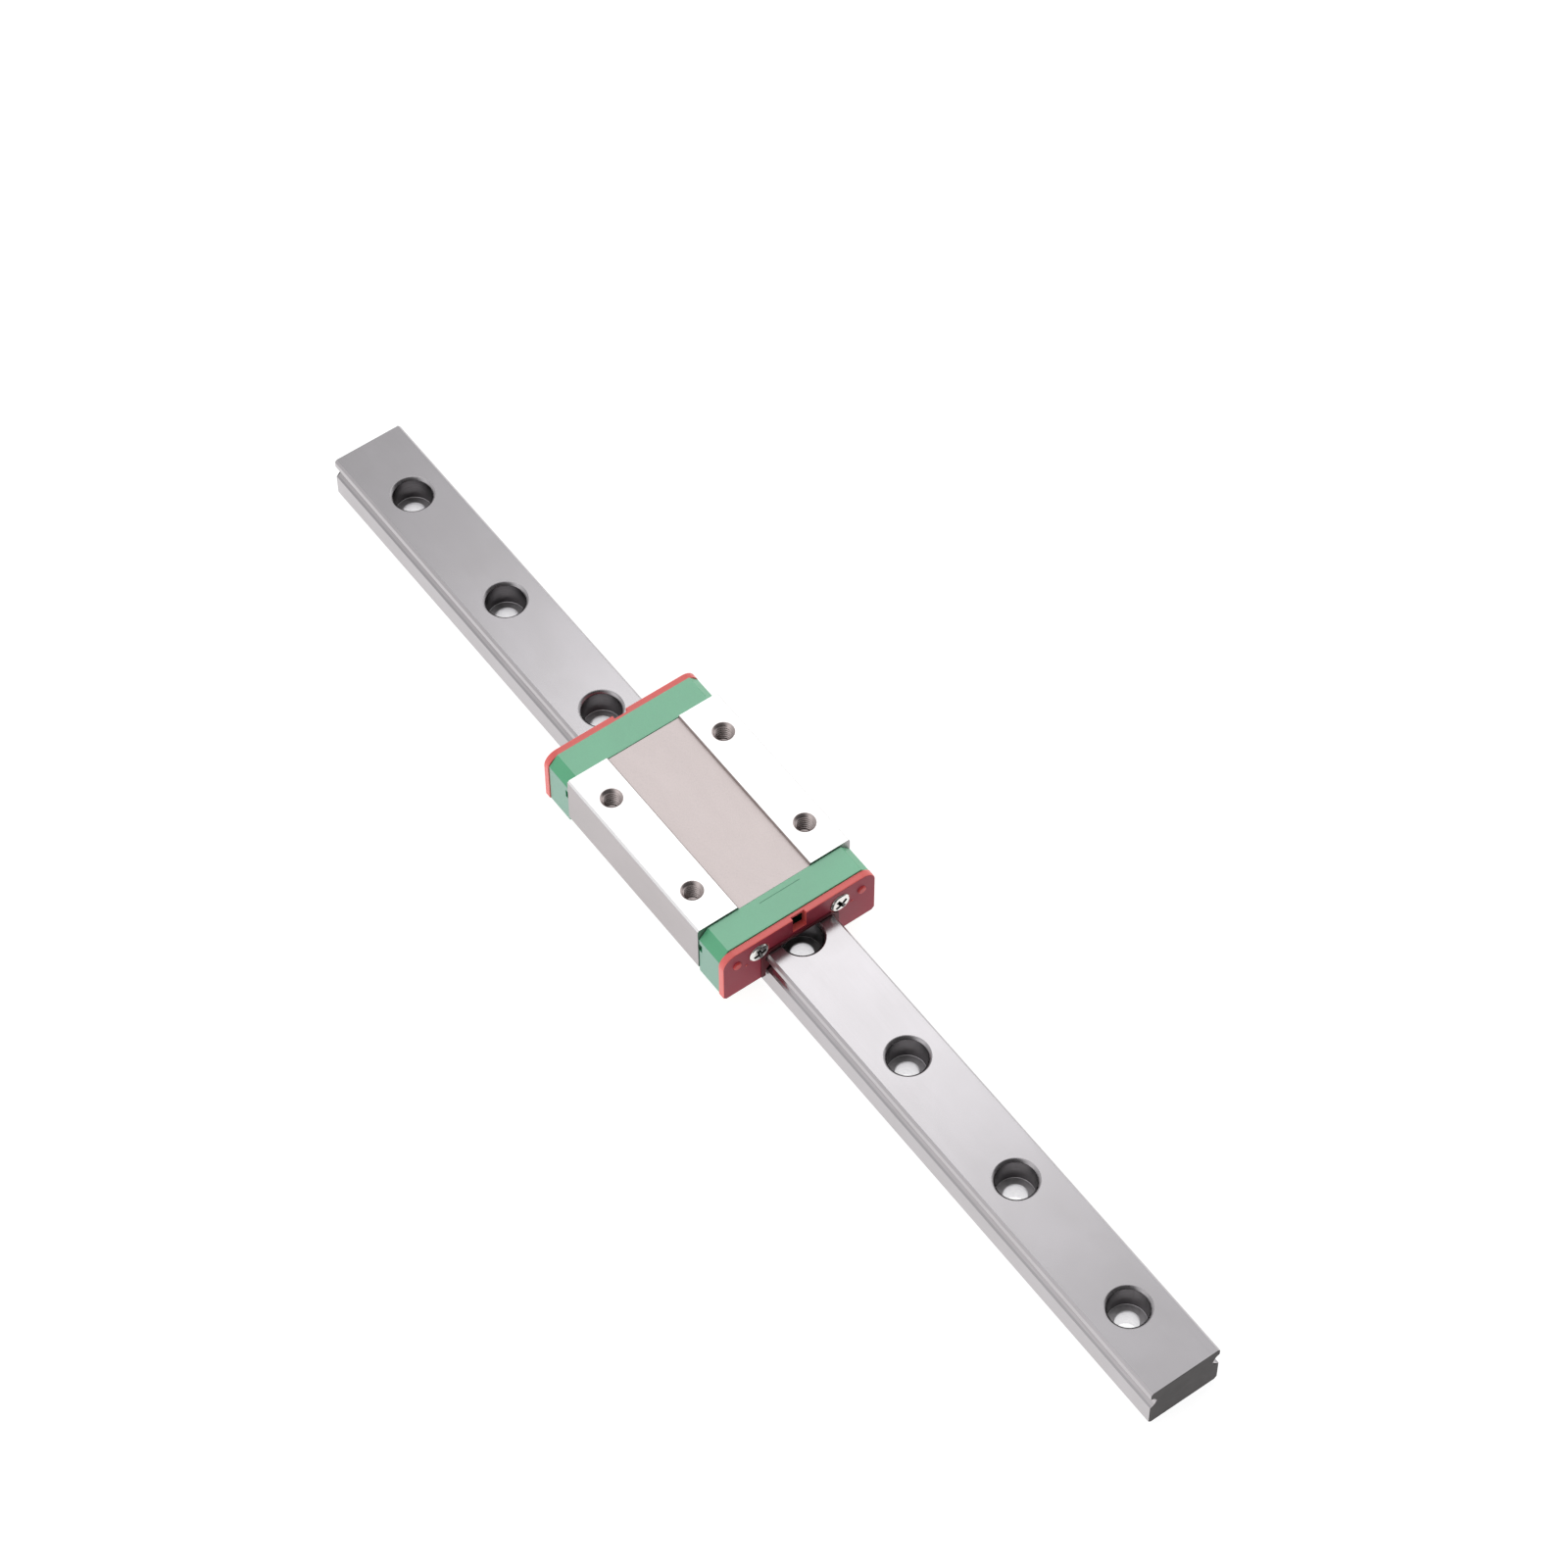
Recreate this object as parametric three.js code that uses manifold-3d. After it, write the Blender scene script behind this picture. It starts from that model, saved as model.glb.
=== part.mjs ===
// Miniature linear guide: a hardened steel rail with eight counterbored screw holes and a recirculating-ball
// carriage that runs along it.
// Millimetres. +X runs along the rail, +Y across it, +Z up from the face that the rail is screwed down on.
// The origin is the middle of the rail's bottom face.
import * as THREE from "three";
import { mergeVertices } from "three/addons/utils/BufferGeometryUtils.js";
import Module from "manifold-3d";

// ---------- driving dimensions ----------
// rail
const RAIL_LENGTH = 200;
const RAIL_WIDTH = 12;
const RAIL_HEIGHT = 8;
const RAIL_TOP_CHAMFER = 0.35;
const RAIL_BOTTOM_CHAMFER = 0.45;
const HOLE_PITCH = 25;
const HOLE_COUNT = 8;
const HOLE_FIRST = 12.5; // from the rail's end to the first hole
const COUNTERBORE_D = 6;
const COUNTERBORE_DEPTH = 4.5;
const COUNTERBORE_CHAMFER = 0.4;
const THROUGH_D = 3.5;

// ball circuit
const BALL_D = 2.381;
const BALL_R = BALL_D / 2;
const GROOVE_R = 1.22; // raceway radius, in the rail and in the block
const RACE_Y = 6.25; // centre line of the loaded row
const RACE_Z = 5.4;
const RETURN_Y = 10.31; // centre line of the return bore
const RETURN_BORE_R = 1.36;
const TURN_TUBE_R = 1.34; // passage round each end
const LOAD_BALLS = 13; // loaded balls on each side
const LOAD_PITCH = 2.405;
const TURN_R = (RETURN_Y - RACE_Y) / 2; // radius of the turnaround
const TURN_Y = (RETURN_Y + RACE_Y) / 2;
const NECK_R = 0.16;

// carriage block
const CARRIAGE_X = -10.5; // where the carriage stands along the rail
const BLOCK_LENGTH = 32.4;
const BLOCK_WIDTH = 27;
const BLOCK_BOTTOM = 3;
const BLOCK_TOP = 13;
const BAND_HALF_WIDTH = 6.35; // recessed band between the two ground pads
const BAND_Z = 12.5;
const BLOCK_EDGE = 0.3;
const BLOCK_FOOT_CHAMFER = 1.0;
const CHANNEL_HALF_WIDTH = 6.35;
const CHANNEL_Z = 8.6;
const DATUM_LINE_Z = 8; // reference line on the +Y side
const TAP_X = 10; // mounting holes
const TAP_Y = 10;
const TAP_R = 1.25;
const TAP_MOUTH_R = 1.65;
const TAP_DEPTH = 3.5;

// end caps
const JOINT_GAP = 0.05;
const CAP_IN = BLOCK_LENGTH / 2 + JOINT_GAP;
const CAP_LENGTH = 4.95;
const CAP_OUT = CAP_IN + CAP_LENGTH;
const CAP_HALF_WIDTH = 13.35;
const CAP_TOP = 12.6;
const CAP_BOTTOM = 2.95;
const CAP_CHAMFER_Y = 1.55;
const CAP_CHAMFER_Z = 1.75;
const CAP_FOOT_CHAMFER = 0.25;
const GREASE_R = 1.15;
const GREASE_Z = 10.5;
const GUIDE_R = 1.42; // half-round return guide inside each leg of a cap
const GUIDE_LOW = 3.72;
const GUIDE_HIGH = 7.08;

// end seals
const SEAL_IN = CAP_OUT + JOINT_GAP;
const SEAL_THICK = 1.1;
const SEAL_EDGE = 0.16; // chamfer round the outer face
const SEAL_OUT = SEAL_IN + SEAL_THICK;
const SEAL_HALF_WIDTH = 13.5;
const SEAL_TOP = 12.35;
const SEAL_BOTTOM = 2.56;
const SEAL_CORNER_R = 2.2;
const SEAL_NOTCH_HALF = 1.2;
const SEAL_NOTCH_Z = 9.3;
const PIP_Y = 11.05;
const PIP_Z = 9.55;
const PIP_R = 0.7;
const PIP_OUT = 22.65;

// seal screws
const SCREW_Y = 7.2;
const SCREW_Z = 9.55;
const SCREW_HEAD_R = 1.65;
const SCREW_HEAD_OUT = 22.75;
const SCREW_SHANK_R = 0.86;
const SCREW_TIP_X = 13.4;
const SCREW_HOLE_R = 1.0;

// ball retaining wires
const WIRE_R = 0.28;
const WIRE_SLOT_R = 0.38;
const WIRE_Y = 6.45;
const WIRE_Z = 6.97;
const WIRE_STRAIGHT = 18.7;
const WIRE_BEND = 0.75;
const WIRE_LEG = 0.45;

// ---------- solids ----------
const wasm = await Module();
wasm.setup();

function solid(geometry) {
  let g = geometry.index ? geometry.toNonIndexed() : geometry.clone();
  g.deleteAttribute("normal");
  g.deleteAttribute("uv");
  g = mergeVertices(g, 1e-5);
  const build = (tri) =>
    new wasm.Manifold(
      new wasm.Mesh({
        numProp: 3,
        vertProperties: new Float32Array(g.attributes.position.array),
        triVerts: tri,
      }),
    );
  // a triangle that has lost a corner to its neighbour is dropped
  const keep = [];
  const idx = g.index.array;
  for (let i = 0; i < idx.length; i += 3) {
    const [a, b, c] = [idx[i], idx[i + 1], idx[i + 2]];
    if (a !== b && b !== c && c !== a) keep.push(a, b, c);
  }
  let made = build(new Uint32Array(keep));
  if (made.volume() < 0) {
    for (let i = 0; i < keep.length; i += 3)
      [keep[i + 1], keep[i + 2]] = [keep[i + 2], keep[i + 1]];
    made = build(new Uint32Array(keep));
  }
  return made;
}

function geometryOf(man) {
  const m = man.getMesh();
  const g = new THREE.BufferGeometry();
  const pos = new Float32Array(m.numVert * 3);
  for (let i = 0; i < m.numVert; i++)
    for (let k = 0; k < 3; k++)
      pos[i * 3 + k] = m.vertProperties[i * m.numProp + k];
  g.setAttribute("position", new THREE.BufferAttribute(pos, 3));
  g.setIndex(new THREE.BufferAttribute(new Uint32Array(m.triVerts), 1));
  const flat = g.toNonIndexed();
  flat.computeVertexNormals();
  return flat;
}

const YZX = new THREE.Matrix4().makeBasis(
  new THREE.Vector3(0, 1, 0),
  new THREE.Vector3(0, 0, 1),
  new THREE.Vector3(1, 0, 0),
);

// A closed outline of [y, z] points swept from x0 to x1.
function sweepX(points, x0, x1) {
  const shape = new THREE.Shape(points.map(([y, z]) => new THREE.Vector2(y, z)));
  return new THREE.ExtrudeGeometry(shape, {
    depth: x1 - x0,
    bevelEnabled: false,
    steps: 1,
  })
    .applyMatrix4(YZX)
    .translate(x0, 0, 0);
}

function boxAt(x0, x1, y0, y1, z0, z1) {
  return new THREE.BoxGeometry(x1 - x0, y1 - y0, z1 - z0).translate(
    (x0 + x1) / 2,
    (y0 + y1) / 2,
    (z0 + z1) / 2,
  );
}

// A turned piece standing on +Z; its profile is [radius, height] from the axis and back to it.
function turnedZ(profile, segments) {
  return new THREE.LatheGeometry(
    profile.map(([r, h]) => new THREE.Vector2(r, h)),
    segments,
  ).rotateX(Math.PI / 2);
}

// The same along +X.
function turnedX(profile, segments) {
  return new THREE.LatheGeometry(
    profile.map(([r, h]) => new THREE.Vector2(r, h)),
    segments,
  ).rotateZ(-Math.PI / 2);
}

// Points on an arc in the [y, z] plane, degrees from +Y towards +Z.
function arc(cy, cz, r, from, to, steps) {
  const out = [];
  for (let i = 0; i <= steps; i++) {
    const a = THREE.MathUtils.degToRad(from + ((to - from) * i) / steps);
    out.push([cy + r * Math.cos(a), cz + r * Math.sin(a)]);
  }
  return out;
}

// ---------- rail ----------
const grooveAt = (wallY, segments, inner) => {
  // where a raceway circle crosses the vertical wall at wallY
  const a = THREE.MathUtils.radToDeg(Math.acos((wallY - RACE_Y) / GROOVE_R));
  return inner
    ? arc(RACE_Y, RACE_Z, GROOVE_R, 360 - a, a, segments) // round the -Y side
    : arc(RACE_Y, RACE_Z, GROOVE_R, -a, a, segments); // round the +Y side
};

function railHalf() {
  const w = RAIL_WIDTH / 2;
  return [
    [w - RAIL_BOTTOM_CHAMFER, 0],
    [w, RAIL_BOTTOM_CHAMFER],
    ...grooveAt(w, 8, true),
    [w, RAIL_HEIGHT - RAIL_TOP_CHAMFER],
    [w - RAIL_TOP_CHAMFER, RAIL_HEIGHT],
  ];
}

const mirrorY = (pts) => pts.map(([y, z]) => [-y, z]).reverse();

function makeRail() {
  const half = railHalf();
  let body = solid(
    sweepX([...half, ...mirrorY(half)], -RAIL_LENGTH / 2, RAIL_LENGTH / 2),
  );
  const r1 = THROUGH_D / 2;
  const r2 = COUNTERBORE_D / 2;
  const floor = RAIL_HEIGHT - COUNTERBORE_DEPTH;
  const drill = turnedZ(
    [
      [0, -1],
      [r1, -1],
      [r1, floor],
      [r2, floor],
      [r2, RAIL_HEIGHT - COUNTERBORE_CHAMFER],
      [r2 + COUNTERBORE_CHAMFER, RAIL_HEIGHT],
      [r2 + COUNTERBORE_CHAMFER, RAIL_HEIGHT + 1],
      [0, RAIL_HEIGHT + 1],
    ],
    28,
  );
  for (let i = 0; i < HOLE_COUNT; i++) {
    const x = -RAIL_LENGTH / 2 + HOLE_FIRST + i * HOLE_PITCH;
    body = body.subtract(solid(drill.clone().translate(x, 0, 0)));
  }
  return geometryOf(body);
}

// ---------- carriage block ----------
function blockHalf() {
  const w = BLOCK_WIDTH / 2;
  const c = CHANNEL_HALF_WIDTH;
  return [
    // up the inside of the channel, from its middle to the foot
    [c - 0.35, CHANNEL_Z],
    [c, CHANNEL_Z - 0.35],
    // slot that takes the retaining wire
    [c, WIRE_Z + 0.36],
    [WIRE_Y + 0.4, WIRE_Z + 0.36],
    [WIRE_Y + 0.4, WIRE_Z - 0.3],
    ...grooveAt(c, 10, false).reverse().slice(1),
    [c, BLOCK_BOTTOM + 0.6],
    [c + 0.6, BLOCK_BOTTOM],
    [w - BLOCK_FOOT_CHAMFER, BLOCK_BOTTOM],
    [w, BLOCK_BOTTOM + BLOCK_FOOT_CHAMFER],
    [w, BLOCK_TOP - BLOCK_EDGE],
    [w - BLOCK_EDGE, BLOCK_TOP],
    [BAND_HALF_WIDTH, BLOCK_TOP],
    [BAND_HALF_WIDTH, BAND_Z],
  ];
}

function makeBlock() {
  const half = blockHalf();
  const L = BLOCK_LENGTH / 2;
  const outline = [...half, ...mirrorY(half)];
  let body = solid(sweepX(outline, -L, L));
  // return bores
  for (const s of [-1, 1]) {
    body = body.subtract(
      solid(
        turnedX(
          [
            [0, -L - 1],
            [RETURN_BORE_R, -L - 1],
            [RETURN_BORE_R, L + 1],
            [0, L + 1],
          ],
          16,
        ).translate(0, s * RETURN_Y, RACE_Z),
      ),
    );
    // reference line along the +Y side only
    if (s > 0)
      body = body.subtract(
        solid(
          sweepX(
            [
              [BLOCK_WIDTH / 2 - 0.16, DATUM_LINE_Z],
              [BLOCK_WIDTH / 2 + 0.1, DATUM_LINE_Z - 0.2],
              [BLOCK_WIDTH / 2 + 0.1, DATUM_LINE_Z + 0.2],
            ],
            -L - 1,
            L + 1,
          ),
        ),
      );
    for (const e of [-1, 1]) {
      // mounting holes
      body = body.subtract(
        solid(
          turnedZ(
            [
              [0, BLOCK_TOP - TAP_DEPTH - 0.6],
              [TAP_R, BLOCK_TOP - TAP_DEPTH],
              [TAP_R, BLOCK_TOP - (TAP_MOUTH_R - TAP_R)],
              [TAP_MOUTH_R, BLOCK_TOP],
              [TAP_MOUTH_R, BLOCK_TOP + 1],
              [0, BLOCK_TOP + 1],
            ],
            20,
          ).translate(e * TAP_X, s * TAP_Y, 0),
        ),
      );
      // holes for the seal screws
      const depth = [
        [0, SCREW_TIP_X - 0.7],
        [SCREW_HOLE_R, SCREW_TIP_X - 0.3],
        [SCREW_HOLE_R, L + 1],
        [0, L + 1],
      ];
      const drill = turnedX(depth, 14);
      if (e < 0) drill.rotateZ(Math.PI);
      body = body.subtract(solid(drill.translate(0, s * SCREW_Y, SCREW_Z)));
    }
  }
  return geometryOf(body);
}

// ---------- retaining wire ----------
// Runs along the loaded row and hooks outwards into a cap at each end.
class WirePath extends THREE.CurvePath {}
function wireCurve(side) {
  const p = new WirePath();
  const v = (x, y) => new THREE.Vector3(x, side * y, WIRE_Z);
  const a = WIRE_STRAIGHT;
  const b = WIRE_BEND;
  const pts = [];
  pts.push(v(-a - b, WIRE_Y + b + WIRE_LEG));
  for (let i = 0; i <= 4; i++) {
    const t = (Math.PI / 2) * (i / 4);
    pts.push(
      v(-a - b * Math.cos(t), WIRE_Y + b - b * Math.sin(t)),
    );
  }
  for (let i = 0; i <= 4; i++) {
    const t = (Math.PI / 2) * (i / 4);
    pts.push(v(a + b * Math.sin(t), WIRE_Y + b - b * Math.cos(t)));
  }
  pts.push(v(a + b, WIRE_Y + b + WIRE_LEG));
  for (let i = 0; i + 1 < pts.length; i++)
    p.add(new THREE.LineCurve3(pts[i], pts[i + 1]));
  return pts;
}

// A round rod through a list of points: one ring of corners at each point, mitred, with flat ends.
function rod(points, radius, sides) {
  const verts = [];
  const index = [];
  const up = new THREE.Vector3(0, 0, 1);
  points.forEach((p, i) => {
    const before = i > 0 ? p.clone().sub(points[i - 1]).normalize() : null;
    const after =
      i + 1 < points.length ? points[i + 1].clone().sub(p).normalize() : null;
    const t = before && after ? before.clone().add(after).normalize() : before || after;
    const side = new THREE.Vector3().crossVectors(t, up).normalize();
    const stretch = before && after ? 1 / Math.max(0.5, t.dot(after)) : 1;
    for (let k = 0; k < sides; k++) {
      const a = ((k + 0.5) / sides) * Math.PI * 2;
      const q = p
        .clone()
        .addScaledVector(side, radius * Math.cos(a) * stretch)
        .addScaledVector(up, radius * Math.sin(a));
      verts.push(q.x, q.y, q.z);
    }
  });
  const n = points.length;
  for (let i = 0; i + 1 < n; i++)
    for (let k = 0; k < sides; k++) {
      const a = i * sides + k;
      const b = i * sides + ((k + 1) % sides);
      index.push(a, b, b + sides, a, b + sides, a + sides);
    }
  for (let k = 1; k + 1 < sides; k++) {
    index.push(0, k + 1, k);
    const e = (n - 1) * sides;
    index.push(e, e + k, e + k + 1);
  }
  const g = new THREE.BufferGeometry();
  g.setAttribute("position", new THREE.Float32BufferAttribute(verts, 3));
  g.setIndex(index);
  return g;
}

const makeWire = (side) =>
  geometryOf(solid(rod(wireCurve(side), WIRE_R, 8)));

// ---------- end cap (the +X one; the other is turned half round) ----------
function makeCap() {
  const w = CAP_HALF_WIDTH;
  const half = [
    [CHANNEL_HALF_WIDTH, CHANNEL_Z + 0.1],
    [CHANNEL_HALF_WIDTH, CAP_BOTTOM + 0.3],
    [CHANNEL_HALF_WIDTH + 0.3, CAP_BOTTOM],
    [w - CAP_FOOT_CHAMFER, CAP_BOTTOM],
    [w, CAP_BOTTOM + CAP_FOOT_CHAMFER],
    [w, CAP_TOP - CAP_CHAMFER_Z],
    [w - CAP_CHAMFER_Y, CAP_TOP],
  ];
  let body = solid(sweepX([...half, ...mirrorY(half)], CAP_IN, CAP_OUT));
  // shallow pocket in the roof of the channel, next to the seal
  body = body.subtract(
    solid(boxAt(CAP_IN + 1.6, CAP_OUT - 0.6, -5.6, 5.6, CHANNEL_Z - 1, CHANNEL_Z + 0.35)),
  );
  // grease port
  body = body.subtract(
    solid(
      turnedX(
        [
          [0, CAP_IN + 0.9],
          [GREASE_R, CAP_IN + 0.9],
          [GREASE_R, CAP_OUT + 1],
          [0, CAP_OUT + 1],
        ],
        18,
      ).translate(0, 0, GREASE_Z),
    ),
  );
  for (const s of [-1, 1]) {
    // ball turnaround and the pocket for its return guide
    const turn = new THREE.TorusGeometry(TURN_R, TURN_TUBE_R, 14, 20).translate(
      CAP_IN,
      s * TURN_Y,
      RACE_Z,
    );
    body = body.subtract(solid(turn));
    body = body.subtract(
      solid(
        turnedZ(
          [
            [0, GUIDE_LOW - 0.06],
            [GUIDE_R + 0.07, GUIDE_LOW - 0.06],
            [GUIDE_R + 0.07, GUIDE_HIGH + 0.06],
            [0, GUIDE_HIGH + 0.06],
          ],
          24,
        ).translate(CAP_IN, s * TURN_Y, 0),
      ),
    );
    // slot for the retaining wire
    body = body.subtract(solid(rod(wireCurve(s), WIRE_SLOT_R, 8)));
    // mouth of the slot, so that the wire can be laid in from the channel
    body = body.subtract(
      solid(
        boxAt(
          CAP_IN - 0.5,
          WIRE_STRAIGHT + WIRE_BEND + 0.3,
          s > 0 ? 6.2 : -WIRE_Y,
          s > 0 ? WIRE_Y : -6.2,
          WIRE_Z - 0.33,
          WIRE_Z + 0.33,
        ),
      ),
    );
    // screw hole
    body = body.subtract(
      solid(
        turnedX(
          [
            [0, CAP_IN - 1],
            [SCREW_HOLE_R + 0.05, CAP_IN - 1],
            [SCREW_HOLE_R + 0.05, CAP_OUT + 1],
            [0, CAP_OUT + 1],
          ],
          14,
        ).translate(0, s * SCREW_Y, SCREW_Z),
      ),
    );
    // small relief at the joint with the block, on each side
    body = body.subtract(
      solid(
        boxAt(
          CAP_IN - 0.5,
          CAP_IN + 0.75,
          s > 0 ? w - 0.4 : -w - 0.5,
          s > 0 ? w + 0.5 : -w + 0.4,
          8.3,
          9.9,
        ),
      ),
    );
  }
  return geometryOf(body);
}

// Half-round guide that turns the balls: a half disc with the inner half of the passage cut round it.
function makeGuide(side) {
  let body = solid(
    turnedZ(
      [
        [0, GUIDE_LOW],
        [GUIDE_R, GUIDE_LOW],
        [GUIDE_R, GUIDE_HIGH],
        [0, GUIDE_HIGH],
      ],
      24,
    ).translate(CAP_IN + 0.02, side * TURN_Y, 0),
  );
  body = body.intersect(
    solid(boxAt(CAP_IN + 0.02, CAP_IN + 4, side * TURN_Y - 3, side * TURN_Y + 3, 0, 10)),
  );
  body = body.subtract(
    solid(
      new THREE.TorusGeometry(TURN_R, TURN_TUBE_R, 14, 20).translate(
        CAP_IN,
        side * TURN_Y,
        RACE_Z,
      ),
    ),
  );
  return geometryOf(body);
}

// ---------- end seal (the +X one) ----------
function makeSeal() {
  const w = SEAL_HALF_WIDTH;
  const r = SEAL_CORNER_R;
  // opening that follows the rail, with a pointed lip into each raceway
  const half = [
    [5.45, 8.14],
    [6.14, 7.62],
    [6.14, 6.75],
    [5.95, 6.35],
    [5.3, 5.55],
    [5.3, 5.25],
    [5.95, 4.5],
    [6.14, 4.1],
    [6.14, SEAL_BOTTOM + 0.5],
    [6.6, SEAL_BOTTOM],
    [w - 0.5, SEAL_BOTTOM],
    [w, SEAL_BOTTOM + 0.5],
    ...arc(w - r, SEAL_TOP - r, r, 0, 90, 6),
  ];
  let body = solid(sweepX([...half, ...mirrorY(half)], SEAL_IN, SEAL_OUT));
  // chamfer round the outer edge of the outer face
  const rim = [
    [w - 0.5, SEAL_BOTTOM],
    [w, SEAL_BOTTOM + 0.5],
    ...arc(w - r, SEAL_TOP - r, r, 0, 90, 6),
  ];
  const blank = new THREE.ExtrudeGeometry(
    new THREE.Shape(
      [...rim, ...mirrorY(rim)].map(([y, z]) => new THREE.Vector2(y, z)),
    ),
    {
      depth: 4,
      bevelEnabled: true,
      bevelThickness: SEAL_EDGE,
      bevelSize: SEAL_EDGE,
      bevelOffset: -SEAL_EDGE,
      bevelSegments: 1,
      curveSegments: 1,
      steps: 1,
    },
  )
    .applyMatrix4(YZX)
    .translate(SEAL_OUT - SEAL_EDGE - 4, 0, 0);
  body = body.intersect(solid(blank));
  // top notch, left open at the front above a thin strip at the back
  body = body.subtract(
    solid(
      boxAt(
        SEAL_IN - 1,
        SEAL_OUT + 1,
        -SEAL_NOTCH_HALF,
        SEAL_NOTCH_HALF,
        SEAL_NOTCH_Z,
        SEAL_TOP - 0.45,
      ),
    ),
  );
  body = body.subtract(
    solid(
      boxAt(
        SEAL_IN + 0.45,
        SEAL_OUT + 1,
        -SEAL_NOTCH_HALF,
        SEAL_NOTCH_HALF,
        SEAL_NOTCH_Z,
        SEAL_TOP + 1,
      ),
    ),
  );
  for (const s of [-1, 1]) {
    // countersunk screw hole
    body = body.subtract(
      solid(
        turnedX(
          [
            [0, SEAL_IN - 1],
            [SCREW_HOLE_R + 0.1, SEAL_IN - 1],
            [SCREW_HOLE_R + 0.1, SEAL_IN + 0.45],
            [SCREW_HEAD_R + 0.08, SEAL_OUT - 0.12],
            [SCREW_HEAD_R + 0.08, SEAL_OUT + 1],
            [0, SEAL_OUT + 1],
          ],
          20,
        ).translate(0, s * SCREW_Y, SCREW_Z),
      ),
    );
    // moulded pip
    body = body.add(
      solid(
        turnedX(
          [
            [0, SEAL_OUT - 0.5],
            [PIP_R, SEAL_OUT - 0.5],
            [PIP_R, PIP_OUT - 0.2],
            [PIP_R * 0.72, PIP_OUT],
            [0, PIP_OUT],
          ],
          14,
        ).translate(0, s * PIP_Y, PIP_Z),
      ),
    );
  }
  return geometryOf(body);
}

// ---------- screw: oval countersunk head with a cross recess, along +X ----------
function makeScrew() {
  let body = solid(
    turnedX(
      [
        [0, SCREW_TIP_X],
        [SCREW_SHANK_R * 0.6, SCREW_TIP_X],
        [SCREW_SHANK_R, SCREW_TIP_X + 0.4],
        [SCREW_SHANK_R, SEAL_IN + 0.45],
        [SCREW_HEAD_R, SEAL_OUT - 0.02],
        [SCREW_HEAD_R, SEAL_OUT + 0.06],
        [SCREW_HEAD_R * 0.78, SCREW_HEAD_OUT - 0.12],
        [SCREW_HEAD_R * 0.35, SCREW_HEAD_OUT],
        [0, SCREW_HEAD_OUT],
      ],
      16,
    ),
  );
  const d = 0.75;
  for (const [a, b] of [
    [0.95, 0.2],
    [0.2, 0.95],
  ])
    body = body.subtract(
      solid(boxAt(SCREW_HEAD_OUT - d, SCREW_HEAD_OUT + 1, -a, a, -b, b)),
    );
  return geometryOf(body);
}

// ---------- balls ----------
const ballGeometry = new THREE.IcosahedronGeometry(BALL_R, 1);

// The balls that fill the return bore and both turns of one side, held in line by a thin core.
function makeReturnChain(side) {
  const pts = [];
  const turnAngles = [-72.5, 0, 72.5];
  const end = (e) =>
    turnAngles.map((d) => {
      const a = THREE.MathUtils.degToRad(d);
      return new THREE.Vector3(
        e * (CAP_IN + TURN_R * Math.cos(a)),
        side * (TURN_Y + TURN_R * Math.sin(a)),
        RACE_Z,
      );
    });
  pts.push(...end(1));
  for (let i = 0; i < LOAD_BALLS; i++)
    pts.push(
      new THREE.Vector3(
        ((LOAD_BALLS - 1) / 2 - i) * LOAD_PITCH,
        side * RETURN_Y,
        RACE_Z,
      ),
    );
  pts.push(...end(-1).reverse());
  const ball = new THREE.IcosahedronGeometry(BALL_R, 1);
  let body = null;
  const put = (m) => (body = body ? body.add(m) : m);
  for (const p of pts) put(solid(ball.clone().translate(p.x, p.y, p.z)));
  for (let i = 0; i + 1 < pts.length; i++)
    put(solid(rod([pts[i], pts[i + 1]], NECK_R, 4)));
  return geometryOf(body);
}

// ---------- materials ----------
const steel = (color, roughness) =>
  new THREE.MeshStandardMaterial({ color, roughness, metalness: 1 });
const plastic = (color, roughness) =>
  new THREE.MeshStandardMaterial({ color, roughness, metalness: 0 });

// ---------- assembly ----------
const guide = new THREE.Group();
guide.name = "linear_guide";
const carriage = new THREE.Group();
carriage.name = "carriage";
carriage.position.set(CARRIAGE_X, 0, 0);
guide.add(carriage);

function put(parent, name, geometry, material, place) {
  const mesh = new THREE.Mesh(geometry, material);
  mesh.name = name;
  if (place) place(mesh);
  parent.add(mesh);
  return mesh;
}

put(guide, "rail", makeRail(), steel(0xc4c2c4, 0.32));
put(carriage, "block", makeBlock(), steel(0xd9d5d3, 0.36));

const half = (mesh) => mesh.rotation.set(0, 0, Math.PI);
const capGeometry = makeCap();
const sealGeometry = makeSeal();
put(carriage, "end_cap_front", capGeometry, plastic(0x2f9a63, 0.35));
put(carriage, "end_cap_rear", capGeometry.clone(), plastic(0x2f9a63, 0.35), half);
put(carriage, "end_seal_front", sealGeometry, plastic(0xd02f45, 0.45));
put(carriage, "end_seal_rear", sealGeometry.clone(), plastic(0xd02f45, 0.45), half);

const screwGeometry = makeScrew();
for (const [end, e] of [
  ["front", 1],
  ["rear", -1],
])
  for (const [side, s] of [
    ["left", 1],
    ["right", -1],
  ]) {
    put(
      carriage,
      `seal_screw_${end}_${side}`,
      screwGeometry.clone(),
      steel(0xd8d6d0, 0.2),
      (m) => {
        m.position.set(0, s * SCREW_Y, SCREW_Z);
        if (e < 0) m.rotation.set(0, 0, Math.PI);
      },
    );
    put(
      carriage,
      `return_guide_${end}_${side}`,
      makeGuide(e > 0 ? s : -s),
      plastic(0x7fcba4, 0.4),
      (m) => {
        if (e < 0) m.rotation.set(0, 0, Math.PI);
      },
    );
  }

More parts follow.
